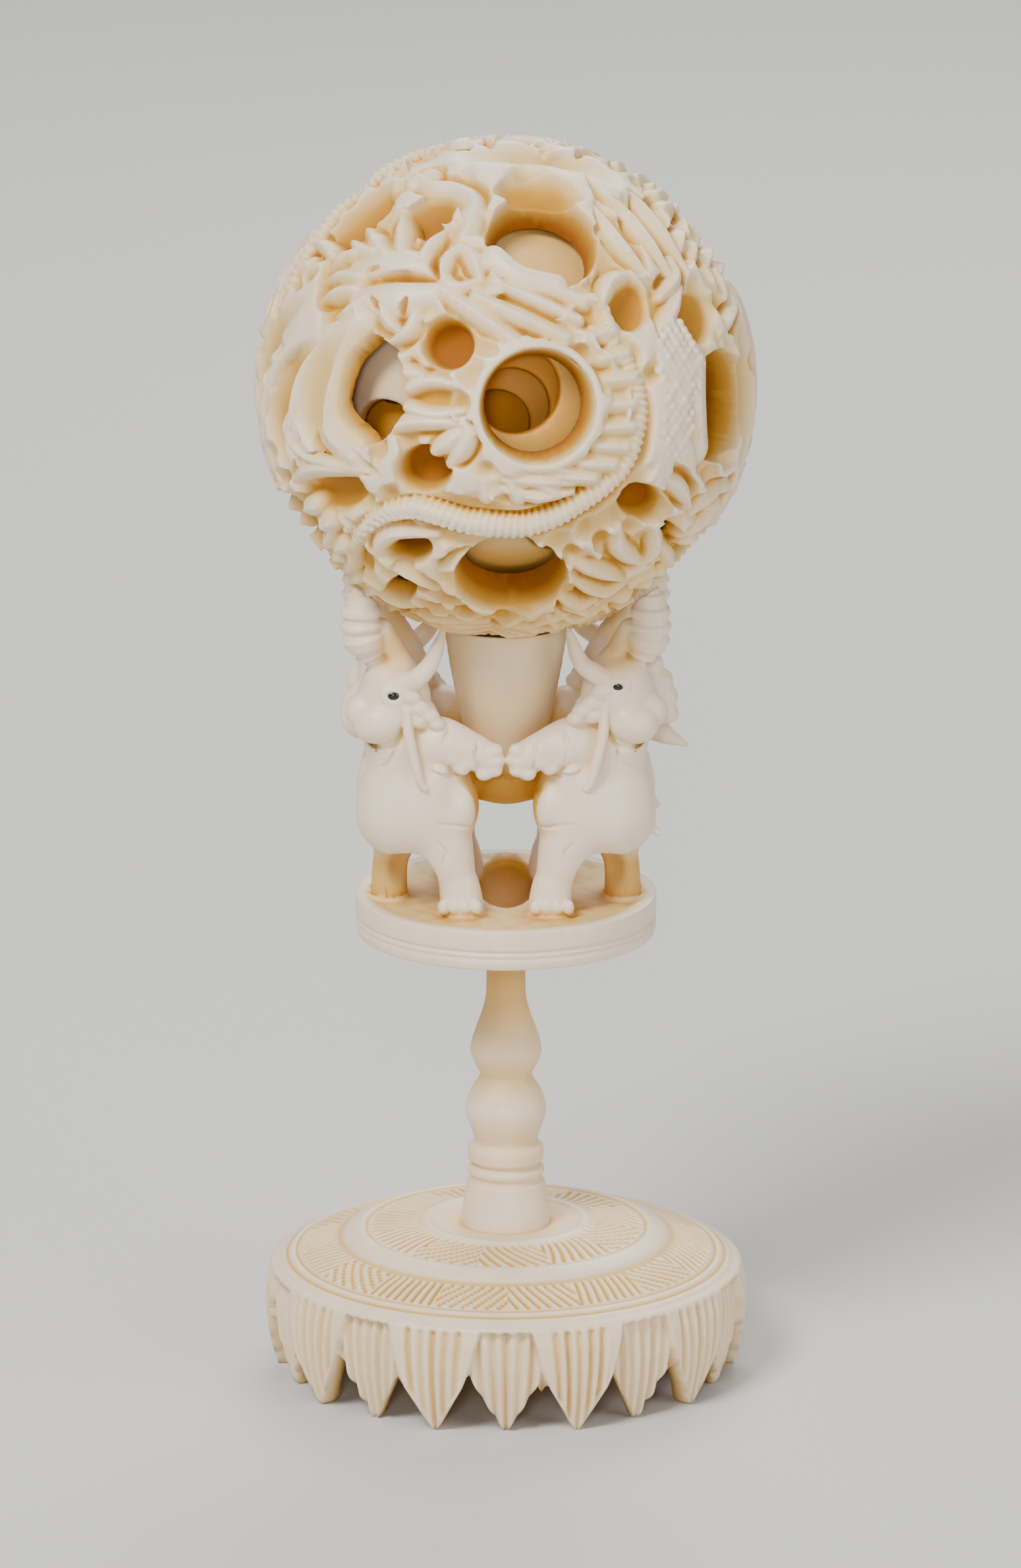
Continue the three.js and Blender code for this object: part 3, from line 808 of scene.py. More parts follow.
WIDE_FINS = 8
WIDE_FIN, NARROW_FIN = 1.15, 0.75
FIN_DROP = 0.15
BEADED_RADII = [1.1, 1.4, 1.4, 1.4, 1.4, 1.1]
# Rings cut across a body: depth, pitch and slant
BEADED_RINGS = (0.35, 0.95, 0.0)
BODY_RINGS = (0.3, 0.8, 0.3)
SKULL_RADII = [1.5, 2.0, 2.2, 1.6]
JAW_RADII = [1.4, 2.0, 2.3, 1.8]
HEAD_SUNK = 1.75
HEAD_CUT_SUNK = 0.4

# The head: pointed horns, the lumps of the snout, the parted mane
HORNS = [
    ([(-0.48, 0.5), (-0.52, 0.56), (-0.565, 0.625)], 1.35),
    ([(-0.42, 0.5), (-0.42, 0.6), (-0.41, 0.7)], 1.1),
    ([(-0.33, 0.5), (-0.29, 0.56), (-0.25, 0.6)], 0.95),
    ([(-0.36, 0.26), (-0.39, 0.2), (-0.46, 0.155)], 0.8),
    ([(-0.5, 0.3), (-0.47, 0.24), (-0.43, 0.2)], 0.9),
    ([(-0.6, 0.3), (-0.58, 0.23), (-0.62, 0.19)], 0.9),
    ([(-0.7, 0.52), (-0.74, 0.56), (-0.79, 0.56)], 0.8),
]
SNOUT = [
    ([(-0.6, 0.52), (-0.66, 0.5), (-0.71, 0.46)], 1.5),
    ([(-0.58, 0.42), (-0.66, 0.43), (-0.74, 0.41)], 1.6),
    ([(-0.6, 0.37), (-0.68, 0.36), (-0.75, 0.33)], 1.4),
    ([(-0.56, 0.33), (-0.62, 0.29), (-0.69, 0.26)], 1.5),
    ([(-0.74, 0.47), (-0.8, 0.44), (-0.82, 0.38)], 1.2),
    ([(-0.52, 0.52), (-0.58, 0.53), (-0.62, 0.57)], 1),
]
SKULL = [(-0.6, 0.46), (-0.45, 0.47), (-0.3, 0.45)]
JAW = [(-0.6, 0.34), (-0.46, 0.33), (-0.31, 0.35)]
HEAD_CUTS = [
    ([(-0.53, 0.405), (-0.42, 0.413), (-0.28, 0.4)], 0.8),
    ([(-0.39, 0.32), (-0.41, 0.28), (-0.42, 0.23)], 0.6), ([(-0.53, 0.33), (-0.5, 0.28)], 0.5),
    ([(-0.27, 0.53), (-0.285, 0.47), (-0.27, 0.41)], 0.8), ([(-0.66, 0.4), (-0.72, 0.39)], 0.5),
    ([(-0.62, 0.47), (-0.66, 0.48)], 0.45), ([(-0.56, 0.44), (-0.5, 0.45)], 0.4),
]
MANE = [
    ([(-0.15, 0.57), (0.04, 0.51), (0.3, 0.42)], 0.95),
    ([(-0.08, 0.47), (0.09, 0.405), (0.31, 0.315)], 0.95),
    ([(-0.12, 0.335), (0.02, 0.27), (0.24, 0.17)], 1),
    ([(-0.3, 0.39), (-0.13, 0.275), (0.07, 0.13)], 1.05),
    ([(-0.05, 0.39), (0.12, 0.32), (0.29, 0.24)], 0.65),
]
MANE_CUTS = [
    ([(-0.14, 0.52), (0.06, 0.455), (0.27, 0.365)], 0.9, 2.7),
    ([(-0.08, 0.425), (0.08, 0.36), (0.28, 0.275)], 0.75, 2.6),
    ([(-0.08, 0.36), (0.06, 0.295), (0.26, 0.2)], 0.8, 2.8),
    ([(-0.22, 0.37), (-0.05, 0.27), (0.14, 0.155)], 0.8, 3),
    ([(-0.06, 0.61), (0.1, 0.56), (0.29, 0.47)], 0.9, 1.8),
]

# Ridges with a sharp crest, and their half width
RIDGES = [
    ([(-0.18, 0.545), (-0.13, 0.49), (-0.1, 0.4)], 0.9),
    ([(-0.18, 0.545), (-0.235, 0.49), (-0.255, 0.42), (-0.2, 0.37), (-0.1, 0.4)], 0.8),
    ([(-0.47, -0.07), (-0.31, -0.005), (-0.17, -0.03)], 0.6),
    ([(-0.47, -0.07), (-0.31, -0.135), (-0.17, -0.125)], 0.6),
    ([(-0.5, -0.22), (-0.44, -0.18), (-0.33, -0.165), (-0.17, -0.175)], 0.9),
    ([(-0.17, -0.16), (-0.155, -0.24), (-0.22, -0.34)], 1.1),
    ([(-0.285, -0.285), (-0.22, -0.24), (-0.17, -0.2)], 1),
    ([(-0.86, -0.4), (-0.8, -0.35), (-0.7, -0.345), (-0.57, -0.37)], 1.1),
    ([(-0.4, 0.1), (-0.46, 0.06), (-0.5, 0)], 0.9),
    ([(-0.34, 0.02), (-0.42, 0.03), (-0.46, -0.03)], 0.8),
    ([(0.39, 0.772), (0.539, 0.61), (0.675, 0.407)], 1),
    ([(0.458, 0.799), (0.593, 0.65), (0.715, 0.474)], 0.9),
    ([(0.336, 0.718), (0.458, 0.556), (0.58, 0.407)], 1),
    ([(0.851, 0.108), (0.776, -0.027), (0.763, -0.163), (0.756, -0.312)], 1),
    ([(0.6, 0.19), (0.66, 0.27), (0.7, 0.38)], 0.9), ([(0.38, 0.3), (0.42, 0.4), (0.5, 0.43)], 0.9),
    ([(0.62, 0.34), (0.68, 0.42), (0.66, 0.5)], 0.9),
    ([(-0.5, -0.72), (-0.51, -0.65), (-0.44, -0.605), (-0.28, -0.615)], 0.9),
    ([(-0.1, -0.685), (-0.18, -0.73), (-0.27, -0.755)], 1.1),
    ([(0.45, -0.58), (0.46, -0.67), (0.55, -0.73)], 1), ([(0.6, -0.58), (0.6, -0.67), (0.55, -0.73)], 1),
    ([(0.26, -0.72), (0.37, -0.76), (0.48, -0.79)], 1.1),
    ([(0.28, -0.8), (0.39, -0.84), (0.48, -0.8)], 0.9),
    ([(0.63, -0.66), (0.66, -0.72), (0.63, -0.775)], 1),
    ([(0.75, -0.52), (0.81, -0.46), (0.88, -0.39)], 1),
    ([(0.71, -0.61), (0.78, -0.56), (0.85, -0.48)], 1),
    ([(0.62, -0.38), (0.7, -0.42), (0.74, -0.5)], 0.9),
    ([(-0.64, -0.66), (-0.62, -0.72), (-0.66, -0.75)], 1.1),
    ([(-0.7, -0.58), (-0.72, -0.64), (-0.77, -0.62)], 1.1),
    ([(-0.46, -0.74), (-0.38, -0.77), (-0.28, -0.83)], 1),
    ([(-0.56, -0.8), (-0.44, -0.87), (-0.34, -0.89)], 1),
    ([(0.22, -0.86), (0.29, -0.89), (0.36, -0.87)], 0.9),
    ([(0.86, 0.2), (0.91, 0.3), (0.87, 0.42)], 0.9),
]
# Blades that reach over the edges of the holes
OVERHANGS = [
    ([(-0.59, 0.25), (-0.69, 0.14), (-0.735, -0.03), (-0.72, -0.18), (-0.61, -0.3)], 2.1),
    ([(-0.05, 0.5), (0.05, 0.42), (0.2, 0.38)], 1.2),
    ([(0.765, 0.09), (0.765, -0.09), (0.775, -0.27)], 1.8),
]
OVERHANG_HOLLOW = (
    [(-0.64, 0.2), (-0.735, 0.08), (-0.775, -0.05), (-0.77, -0.18), (-0.69, -0.3)], 2.7, 1.7,
)
# Crests between two hollow leaves, and their half width
CRESTS = [
    ([(-0.669, 0.233), (-0.78, 0.187), (-0.883, 0.12), (-0.95, -0.015), (-0.965, -0.195),
      (-0.894, -0.42)], 0.6),
    ([(-0.66, 0.21), (-0.703, 0.176), (-0.78, 0.098), (-0.826, 0.007), (-0.85, -0.105),
      (-0.86, -0.218), (-0.8, -0.29), (-0.703, -0.325), (-0.545, -0.36)], 0.6),
]
EDGE_SPIKES = [
    ((0.702, 0.542), (0.702, 0.623)), ((0.756, 0.501), (0.745, 0.576)), ((0.81, 0.474), (0.821, 0.566)),
    ((0.858, 0.434), (0.867, 0.515)), ((0.851, -0.434), (0.898, -0.393)),
    ((0.81, -0.501), (0.862, -0.474)), ((0.763, -0.569), (0.831, -0.531)),
    ((0.715, -0.637), (0.776, -0.603)), ((0.648, 0.691), (0.659, 0.735)), ((0.58, 0.79), (0.587, 0.805)),
]
LEG = [
    (-0.44, 0.8), (-0.37, 0.83), (-0.3, 0.79), (-0.2, 0.78), (-0.13, 0.73), (-0.14, 0.64), (-0.17, 0.57),
]
BLOBS = [
    (0.63, -0.75, 1.2), (0.57, -0.8, 1.3), (0.68, -0.73, 1), (-0.72, -0.57, 1.2), (-0.66, -0.66, 1.2),
    (-0.6, -0.78, 1.2), (-0.69, -0.7, 1), (0.61, 0.76, 1.3), (0.64, 0.71, 1), (0.53, 0.83, 1.1),
    (0.45, 0.88, 1), (-0.31, 0.83, 1.3), (-0.36, 0.8, 1), (-0.8, 0.47, 1.1), (-0.54, -0.83, 1.1),
    (0.47, -0.86, 1.1), (-0.78, -0.5, 1),
]

# Smooth hollow bands with sharp edges: their places, half width and depth
VALLEYS = [
    ([(-0.8, 0.33), (-0.9, 0.24), (-0.975, 0.1), (-0.99, -0.08), (-0.98, -0.22)], 3, 1.6),
    ([(-0.75, 0.155), (-0.845, 0.06), (-0.895, -0.06), (-0.915, -0.2), (-0.86, -0.34)], 3.1, 2.3),
    ([(-0.653, 0.122), (-0.741, -0.014), (-0.748, -0.163), (-0.667, -0.285), (-0.504, -0.366)], 2.6, 2.6),
    ([(-0.4, 0.78), (-0.51, 0.73), (-0.61, 0.65), (-0.69, 0.56), (-0.74, 0.5)], 3.6, 3.4),
    ([(-0.36, 0.62), (-0.31, 0.67), (-0.24, 0.71)], 2.6, 3.6),
    ([(-0.179, 0.894), (0.038, 0.915), (0.255, 0.888), (0.431, 0.806)], 3.6, 1.5),
    ([(-0.04, 0.75), (0.12, 0.77), (0.3, 0.73)], 2.9, 3),
    ([(0.363, 0.65), (0.458, 0.528), (0.539, 0.42)], 1.8, 1.8),
    ([(0.919, 0.298), (0.959, 0.108), (0.973, -0.108), (0.925, -0.325)], 3, 1.7),
    ([(-0.545, -0.455), (-0.4, -0.445), (-0.2, -0.49), (0, -0.515), (0.2, -0.49)], 1.3, 1.6),
    ([(-0.42, -0.07), (-0.3, -0.07), (-0.17, -0.075)], 1.7, 2),
    ([(-0.19, 0.5), (-0.2, 0.44), (-0.16, 0.41)], 1.3, 1.4),
    ([(0.43, 0.06), (0.45, -0.1), (0.42, -0.25), (0.32, -0.38), (0.18, -0.45), (0, -0.475),
      (-0.14, -0.46)], 1.7, 2.6),
    ([(0.2, -0.65), (0.34, -0.59), (0.47, -0.5), (0.6, -0.38)], 1.4, 1.7),
    ([(-0.48, -0.6), (-0.36, -0.57), (-0.2, -0.63), (0, -0.66), (0.16, -0.64)], 1, 1.6),
    ([(0.3, 0.62), (0.42, 0.44), (0.36, 0.34)], 1.7, 1.6),
    ([(0.52, 0.42), (0.6, 0.36), (0.62, 0.22), (0.62, 0.1)], 1.2, 1.7),
    ([(0.72, -0.36), (0.64, -0.44)], 1.4, 1.6), ([(0.8, 0.42), (0.9, 0.24), (0.93, 0.12)], 1.4, 1.6),
    ([(-0.56, -0.64), (-0.57, -0.72), (-0.5, -0.8)], 1.5, 1.8),
    ([(0.3, -0.76), (0.4, -0.8), (0.5, -0.84)], 1.2, 1.6),
    ([(-0.24, 0.24), (-0.1, 0.14), (0, 0.09)], 1.2, 1.7), ([(0.5, -0.66), (0.52, -0.72)], 1.4, 2),
]

# Deep bowls with a golden floor: place, half width and half height
BOWLS = [
    (-0.233, 0.149, 0.115, 0.119), (-0.328, -0.359, 0.12, 0.108), (0.553, -0.488, 0.1, 0.08),
    (0.641, 0.515, 0.066, 0.078), (-0.39, -0.67, 0.1, 0.062), (0.655, -0.615, 0.06, 0.05),
    (-0.423, -0.827, 0.066, 0.052), (0.377, -0.833, 0.08, 0.034),
]
SOFT_BOWLS = [
    (0.499, 0.298, 0.08, 0.105), (0.756, 0.257, 0.084, 0.124), (-0.68, -0.44, 0.12, 0.085),
    (-0.42, 0.02, 0.05, 0.045),
]
SCALED_PATCH = [
    (0.593, 0.19), (0.68, 0.25), (0.8, 0.081), (0.746, -0.108), (0.729, -0.312), (0.61, -0.298),
    (0.624, -0.108), (0.6, 0.054),
]
PATCH_MIDDLE = [(0.66, 0.2), (0.69, 0.05), (0.68, -0.12), (0.665, -0.27)]
SCALE_PITCH = 0.032
PATCH_SCALE = 0.56
BODY_SCALE = 0.42


def ridge(clay, places, half_width, sign, tall=CREST_HEIGHT, shares=(0.5, 1, 1, 0.45), drop=0.0,
          base=RIDGE_BASE):
    """A blade with its sharp crest at the ball's surface; shares are of its half width, along it."""
    points = on_ball(places, BALL_RADIUS - drop - half_width * tall, sign)
    stroke(clay, points, [half_width * share for share in shares], middle=BALL_CENTRE, flat=1 / tall,
           blend=SHARP_BLEND, sharp=True, base=base)


def ridges(clay, forms, sign, **how):
    for places, half_width in forms:
        ridge(clay, places, half_width, sign, **how)


def rope(clay, places, radii, sign, ripple):
    """A round body with a rippled skin, its crest at the surface of the ball."""
    points = on_ball(places, BALL_RADIUS - max(radii), sign)
    stroke(clay, points, radii, middle=BALL_CENTRE, blend=ROUND_BLEND, ripple=ripple, steps=4)


def valley(clay, places, half_width, depth, sign, blend=0.06):
    """A smooth hollow band, as if cut with a round tool."""
    tool = (half_width ** 2 + depth ** 2) / (2 * depth)
    points = on_ball(places, BALL_RADIUS - depth + tool, sign)
    stroke(clay, points, [tool - depth * 0.8, tool, tool, tool - depth * 0.8], blend=blend, carve=True)


def seen_from_front(clay, sign, place, reach):
    """The grid around a place, and where the photo would show each of its points."""
    slices, places, height = clay.from_middle(place, reach)
    x, y, z = (sign * p for p in places)
    up = (y * math.sin(VIEW_TILT) + z * math.cos(VIEW_TILT)) / height
    towards = (z * math.sin(VIEW_TILT) - y * math.cos(VIEW_TILT)) / height
    return slices, x / height, up, towards, height


def bowl(clay, right, up, wide, tall, floor, sign, blend=0.35):
    """A pit with a rounded floor, oval as the photo shows it."""
    centre = BALL_CENTRE + sign * seen(right, up) * BALL_RADIUS
    stretch = 1 / math.sqrt(max(LEAST_FACING, 1 - right ** 2 - up ** 2))
    reach = max(wide, tall) * BALL_RADIUS * stretch + BALL_RADIUS - floor
    slices, rights, ups, towards, height = seen_from_front(clay, sign, centre, reach)
    away = np.sqrt(((rights - right) / wide) ** 2 + ((ups - up) / tall) ** 2)
    wall = (away - 1 - BOWL_FLARE * (height - GROUND_RADIUS)) * min(wide, tall) * BALL_RADIUS
    rounded = floor + BOWL_ROUND * (BALL_RADIUS - floor) * away ** 3 - height
    distance = np.where(towards > 0, np.maximum(wall, rounded), FAR)
    clay.put(slices, distance.astype(np.float32), blend, carve=True)


def pit(clay, direction, radius):
    """A round pit in any direction."""
    centre = BALL_CENTRE + direction * BALL_RADIUS
    reach = radius + BALL_RADIUS - PIT_FLOOR + 1
    slices, places, height = clay.from_middle(centre, reach)
    depth, wide = depth_and_width(direction, places, height)
    rounded = PIT_FLOOR + PIT_ROUND * (wide / radius) ** 3 - height
    distance = np.maximum(wide - radius * depth / BALL_RADIUS, rounded)
    clay.put(slices, distance.astype(np.float32), PIT_BLEND, carve=True)


def at_height(directions, height):
    return [BALL_CENTRE + unit(direction) * height for direction in directions]


def gouge(clay, directions, half_width, depth):
    """A sharp-edged cut with a hollow floor, in any direction."""
    tool = (half_width ** 2 + depth ** 2) / (2 * depth)
    end = tool - depth * 0.85
    points = at_height(directions, BALL_RADIUS - depth + tool)
    stroke(clay, points, [end, tool, end], blend=FINE_BLEND, carve=True, steps=3)


def leaf(clay, directions):
    """A pointed leaf with a sharp crest, in any direction."""
    end = LEAF_HALF_WIDTH * 0.4
    points = at_height(directions, BALL_RADIUS - LEAF_HALF_WIDTH * CREST_HEIGHT)
    stroke(clay, points, [end, LEAF_HALF_WIDTH, end], middle=BALL_CENTRE, flat=1 / CREST_HEIGHT,
           blend=FINE_BLEND, sharp=True, steps=3, base=RIDGE_BASE)


def across(direction, hint):
    side = unit(np.cross(direction, hint))
    return side, np.cross(direction, side)


def ring_of(direction, hint, turns, centred, reach):
    """Directions round a direction, at some turns: its own share, and how far they reach from it."""
    side, rise = across(direction, hint)
    return [direction * centred + (side * math.cos(t) + rise * math.sin(t)) * r
            for t, r in zip(turns, reach)]


def curl(clay, direction, size):
    """A spiral cloud."""
    turns = np.linspace(0, CLOUD_TURNS, 13)
    reach = size * (1 - 0.8 * turns / turns[-1]) / BALL_RADIUS
    path = ring_of(direction, [0.2, 0.1, 1.0], turns, 1, reach)
    points = at_height(path, BALL_RADIUS - CLOUD_HEIGHT)
    stroke(clay, points, CLOUD_RADII, middle=BALL_CENTRE, blend=SHARP_BLEND, sharp=True, steps=2)


def even_directions(count):
    index = np.arange(count) + 0.5
    z = 1 - 2 * index / count
    turn = np.pi * (1 + 5 ** 0.5) * index
    flat = np.sqrt(1 - z * z)
    return np.stack([np.cos(turn) * flat, np.sin(turn) * flat, z], -1)


def shell(clay):
    """The ground of the ball: a hollow shell, a little uneven."""
    slices, (x, y, z), height = clay.from_middle(BALL_CENTRE, BALL_REACH)
    waves = np.sin(x * 1.1 + 0.6) * np.sin(y * 1.2) * np.sin(z * 1.0 + 1.1) * GROUND_WAVES
    clay.field[slices] = np.maximum(height - GROUND_RADIUS - waves, BALL_INSIDE_RADIUS - height)


def smooth_forms():
    """The broad hollow leaves and bowls, whose floors stay smooth, and their half widths."""
    lines = [(places, half - VALLEY_MARGIN) for places, half, _ in VALLEYS if half > BROAD_VALLEY]
    lines += [([(right, up)], max(wide, tall) * BALL_RADIUS)
              for right, up, wide, tall in BOWLS + SOFT_BOWLS]
    return lines + [(PATCH_MIDDLE, PATCH_HALF_WIDTH)]


def raised_forms():
    """The forms that stand proud in their own trenches, and their half widths."""
    lines = RIDGES + MANE + HORNS + SNOUT
    lines += [(DRAGON_BODY, BODY_HALF_WIDTH), (BEADED_BODY, BEADED_HALF_WIDTH)]
    lines += [(SKULL, HEAD_HALF_WIDTH), (JAW, HEAD_HALF_WIDTH), (LEG, LEG_HALF_WIDTH)]
    lines += [([root, tip], SPIKE_HALF_WIDTH) for root, tip in EDGE_SPIKES]
    return lines + [([(right, up), (right + 0.01, up)], size) for right, up, size in BLOBS]


def places_along(lines):
    """Directions along some lines on the front and the back, and how wide each is, in radians."""
    directions, widths = [], []
    for places, width in lines:
        path = [seen(*place) for place in places]
        if len(path) > 1:
            path = smooth_curve(path, 4)
        directions += [unit(sign * direction) for direction in path for sign in (1, -1)]
        widths += [width / BALL_RADIUS] * 2 * len(path)
    return np.array(directions), np.array(widths)


def room_at(direction, placed, widths):
    """How far a place is from the forms placed from the photo, in radians."""
    return float((np.arccos(np.clip(placed @ direction, -1, 1)) - widths).min())


def gap_to(hole, direction):
    """How far a place is from the edge of a hole, in radians."""
    return math.acos(np.clip(direction @ hole, -1, 1)) - HOLE_ANGLE


def varied(mean_and_swing, phase):
    mean, swing = mean_and_swing
    return mean + swing * math.sin(phase)


def gouge_ground(clay, axes):
    """Leaf-shaped cuts with sharp crests between them, sweeping round the holes."""
    placed, widths = places_along(smooth_forms())
    for index, direction in enumerate(even_directions(GOUGE_COUNT)):
        nearest = max(axes, key=lambda axis: direction @ axis)
        at_front = nearest is axes[0] or nearest is axes[1]
        whole = WHOLE_AT_FRONT if at_front else WHOLE_AT_OTHERS
        if gap_to(nearest, direction) < whole or room_at(direction, placed, widths) < 0:
            continue
        round_hole = unit(np.cross(nearest, direction))
        outwards = np.cross(direction, round_hole)
        turn = GOUGE_TURN * math.sin(index * TURN_STEP)
        along = round_hole * math.cos(turn) + outwards * math.sin(turn)
        length = varied(GOUGE_LENGTH, index * 1.7)
        path = [direction - along * length, direction + outwards * GOUGE_BOW, direction + along * length]
        gouge(clay, path, varied(GOUGE_HALF_WIDTH, index * 5.1), varied(GOUGE_DEPTH, index * 3.3))


def fill_sides(clay, axes):
    """Leaves, clouds and pits between the front and the back, which the photo doesn't show."""
    placed, widths = places_along(smooth_forms() + raised_forms())
    for index, direction in enumerate(even_directions(SIDE_PLACES)):
        gap = min(gap_to(axis, direction) for axis in axes)
        room = min(gap, room_at(direction, placed, widths) + SIDE_OVERLAP)
        if room < SIDE_ROOM:
            continue
        if index % 3 == 0:
            most, per_room = PIT_SIZE
            pit(clay, direction, min(most, room * per_room))
        elif index % 9 == 1:
            most, per_room = CLOUD_SIZE
            curl(clay, direction, min(most, room * per_room))
        else:
            leaves(clay, direction, index * TURN_STEP)


def leaves(clay, direction, turn):
    """Three leaves side by side, drawn together at their ends."""
    side, rise = across(direction, [0.3, 0.2, 1.0])
    along = side * math.cos(turn) + rise * math.sin(turn)
    aside = np.cross(direction, along)
    for shift in LEAF_SHIFTS:
        path = [direction + aside * (shift * (1 - 3 * abs(s)) + 0.4 * s * s) + along * s
                for s in LEAF_REACHES]
        leaf(clay, path)


def rim_round(clay, axis):
    """The plain rim round a hole."""
    reach = math.atan((HOLE_RADIUS + HOLE_RIM) / BALL_RADIUS)
    turns = np.linspace(0, 2 * np.pi, 25)
    path = ring_of(axis, [0.3, 0.2, 1.0], turns, math.cos(reach), [math.sin(reach)] * len(turns))
    points = at_height(path, BALL_RADIUS - HOLE_RIM - RIM_SUNK)
    stroke(clay, points, [HOLE_RIM], middle=BALL_CENTRE, blend=0.25, steps=2)


def scales_on(clay, sign):
    """Rows of small scales on the patch of skin beside the dragon's body."""
    base = on_ball(PATCH_MIDDLE, BALL_RADIUS - SKIN_SUNK, sign)
    stroke(clay, base, SKIN_RADII, middle=BALL_CENTRE, flat=1.7, blend=0.6)
    patch = np.array(SCALED_PATCH)
    low, high = patch.min(0), patch.max(0)
    row = 0
    up = low[1]
    while up < high[1]:
        right = low[0] + (row % 2) * SCALE_PITCH / 2
        while right < high[0]:
            if within(patch, right, up) and right ** 2 + up ** 2 < SCALE_EDGE:
                lift = 0.12 * math.sin(right * 91) * math.sin(up * 77)
                place = BALL_CENTRE + sign * seen(right, up) * (BALL_RADIUS - SCALE_SUNK + lift)
                egg(clay, place, (PATCH_SCALE,) * 3, blend=SCALE_BLEND)
            right += SCALE_PITCH
        up += SCALE_PITCH * ROW_SHARE
        row += 1


def within(outline, right, up):
    """Whether a place is inside an outline."""
    is_inside = False
    before = outline[-1]
    for corner in outline:
        if (corner[1] > up) != (before[1] > up):
            crossing = before[0] + (up - before[1]) / (corner[1] - before[1]) * (corner[0] - before[0])
            if right < crossing:
                is_inside = not is_inside
        before = corner
    return is_inside


def hollow_out(clay, sign):
    for places, half_width in raised_forms():
        valley(clay, places, half_width + TRENCH_MARGIN, TRENCH_DEPTH, sign, blend=TRENCH_BLEND)
    for places, half_width, depth in VALLEYS:
        valley(clay, places, half_width, depth, sign)
    for place in BOWLS:
        bowl(clay, *place, BOWL_FLOOR, sign)
    for place in SOFT_BOWLS:
        bowl(clay, *place, SHALLOW_FLOOR, sign, blend=0.8)


def dragon_head(clay, sign):
    for line, radii in ((SKULL, SKULL_RADII), (JAW, JAW_RADII)):
        points = on_ball(line, BALL_RADIUS - HEAD_SUNK, sign)
        stroke(clay, points, radii, middle=BALL_CENTRE, flat=1.2, blend=0.3)
    ridges(clay, HORNS + SNOUT, sign, tall=1.1, shares=(1, 1, 0.4))
    for places, half_width, depth in MANE_CUTS:
        valley(clay, places, half_width, depth, sign)
    ridges(clay, MANE, sign, shares=(0.7, 1, 0.9), base=MANE_BASE)
    for places, radius in HEAD_CUTS:
        points = on_ball(places, BALL_RADIUS - HEAD_CUT_SUNK, sign)
        stroke(clay, points, [radius * 0.6, radius, radius * 0.6], middle=BALL_CENTRE, flat=0.4,
               blend=0.08, carve=True, sharp=True)


def between(root, tip):
    return (root[0] + tip[0]) / 2, (root[1] + tip[1]) / 2


def dragon(clay, sign):
    ridges(clay, RIDGES, sign)
    ridges(clay, CRESTS, sign, base=CREST_BASE)
    for number, (root, tip) in enumerate(FINS):
        half_width = WIDE_FIN if number < WIDE_FINS else NARROW_FIN
        ridge(clay, [root, between(root, tip), tip], half_width, sign, drop=FIN_DROP, shares=(1, 1, 0.8))
    rope(clay, BEADED_BODY, BEADED_RADII, sign, BEADED_RINGS)
    ridge(clay, LEG, 1.25, sign, shares=(0.72, 0.96, 1.04, 0.96, 1.04, 0.88))
    dragon_head(clay, sign)
    rope(clay, DRAGON_BODY, BODY_RADII, sign, BODY_RINGS)
    for place, direction in enumerate(smooth_curve([seen(*p) for p in DRAGON_BODY[2:9]], 9)):
        side = np.cross(direction, [1.0, 0.0, 0.0])
        offset = 0.75 * math.sin(place * 2.1)
        scale = sign * (direction * (BALL_RADIUS - 0.55) + side * offset)
        egg(clay, BALL_CENTRE + scale, (BODY_SCALE,) * 3, blend=SCALE_BLEND)
    for root, tip in EDGE_SPIKES:
        ridge(clay, [root, between(root, tip), tip], SPIKE_HALF_WIDTH, sign, tall=1.0)
    for right, up, size in BLOBS:
        ridge(clay, [(right - 0.012, up), (right + 0.012, up + 0.01)], size, sign, tall=0.8, shares=(1,))
    scales_on(clay, sign)


def trim_to_ball(clay):
    slices, _, height = clay.from_middle(BALL_CENTRE, BALL_REACH)
    trimmed = np.maximum(clay.field[slices], height - BALL_RADIUS)
    clay.field[slices] = np.maximum(trimmed, BALL_INSIDE_RADIUS - height)


# Painted shade added to the tones: at the underside, and on the inner balls behind the holes
UNDERSIDE_TONE = 0.45
UNDERSIDE_FROM, UNDERSIDE_OVER = 0.45, 0.4
HOLE_SHADE = 0.34
DEEP_HOLE_SHADE = 0.12
TOP_SHADE = 0.22
LEFT_SHADE = 0.36
SHADE_FROM, SHADE_OVER = 0.72, 0.2
# Painted shade: the depth at which the outer ball is darkest, its tone there, and how its underside darkens
# with depth
DARKEST_DEPTH = 4.5
DEPTH_TONE = 0.95
UNDERSIDE_SHARE = 0.35


def painted_underside_shade(places, radius):
    """Painted shade: the darker, browner tone of the ball's underside."""
    up = (places[:, 2] - BALL_CENTRE[2]) / radius
    return UNDERSIDE_TONE * np.clip((-up - UNDERSIDE_FROM) / UNDERSIDE_OVER, 0, 1)


def shaded_behind(places, radius, level):
    """Painted shade: the honey tone of the inner balls behind the front, back, top and left holes."""
    tone = np.zeros(len(places))
    front = HOLE_SHADE if level < 2 else DEEP_HOLE_SHADE
    left = LEFT_SHADE if level else 0.0
    for axis, most in zip(hole_axes(), (front, front, TOP_SHADE, 0.0, left)):
        near = (places - BALL_CENTRE) @ axis / radius
        tone = np.maximum(tone, most * np.clip((near - SHADE_FROM) / SHADE_OVER, 0, 1))
    return tone


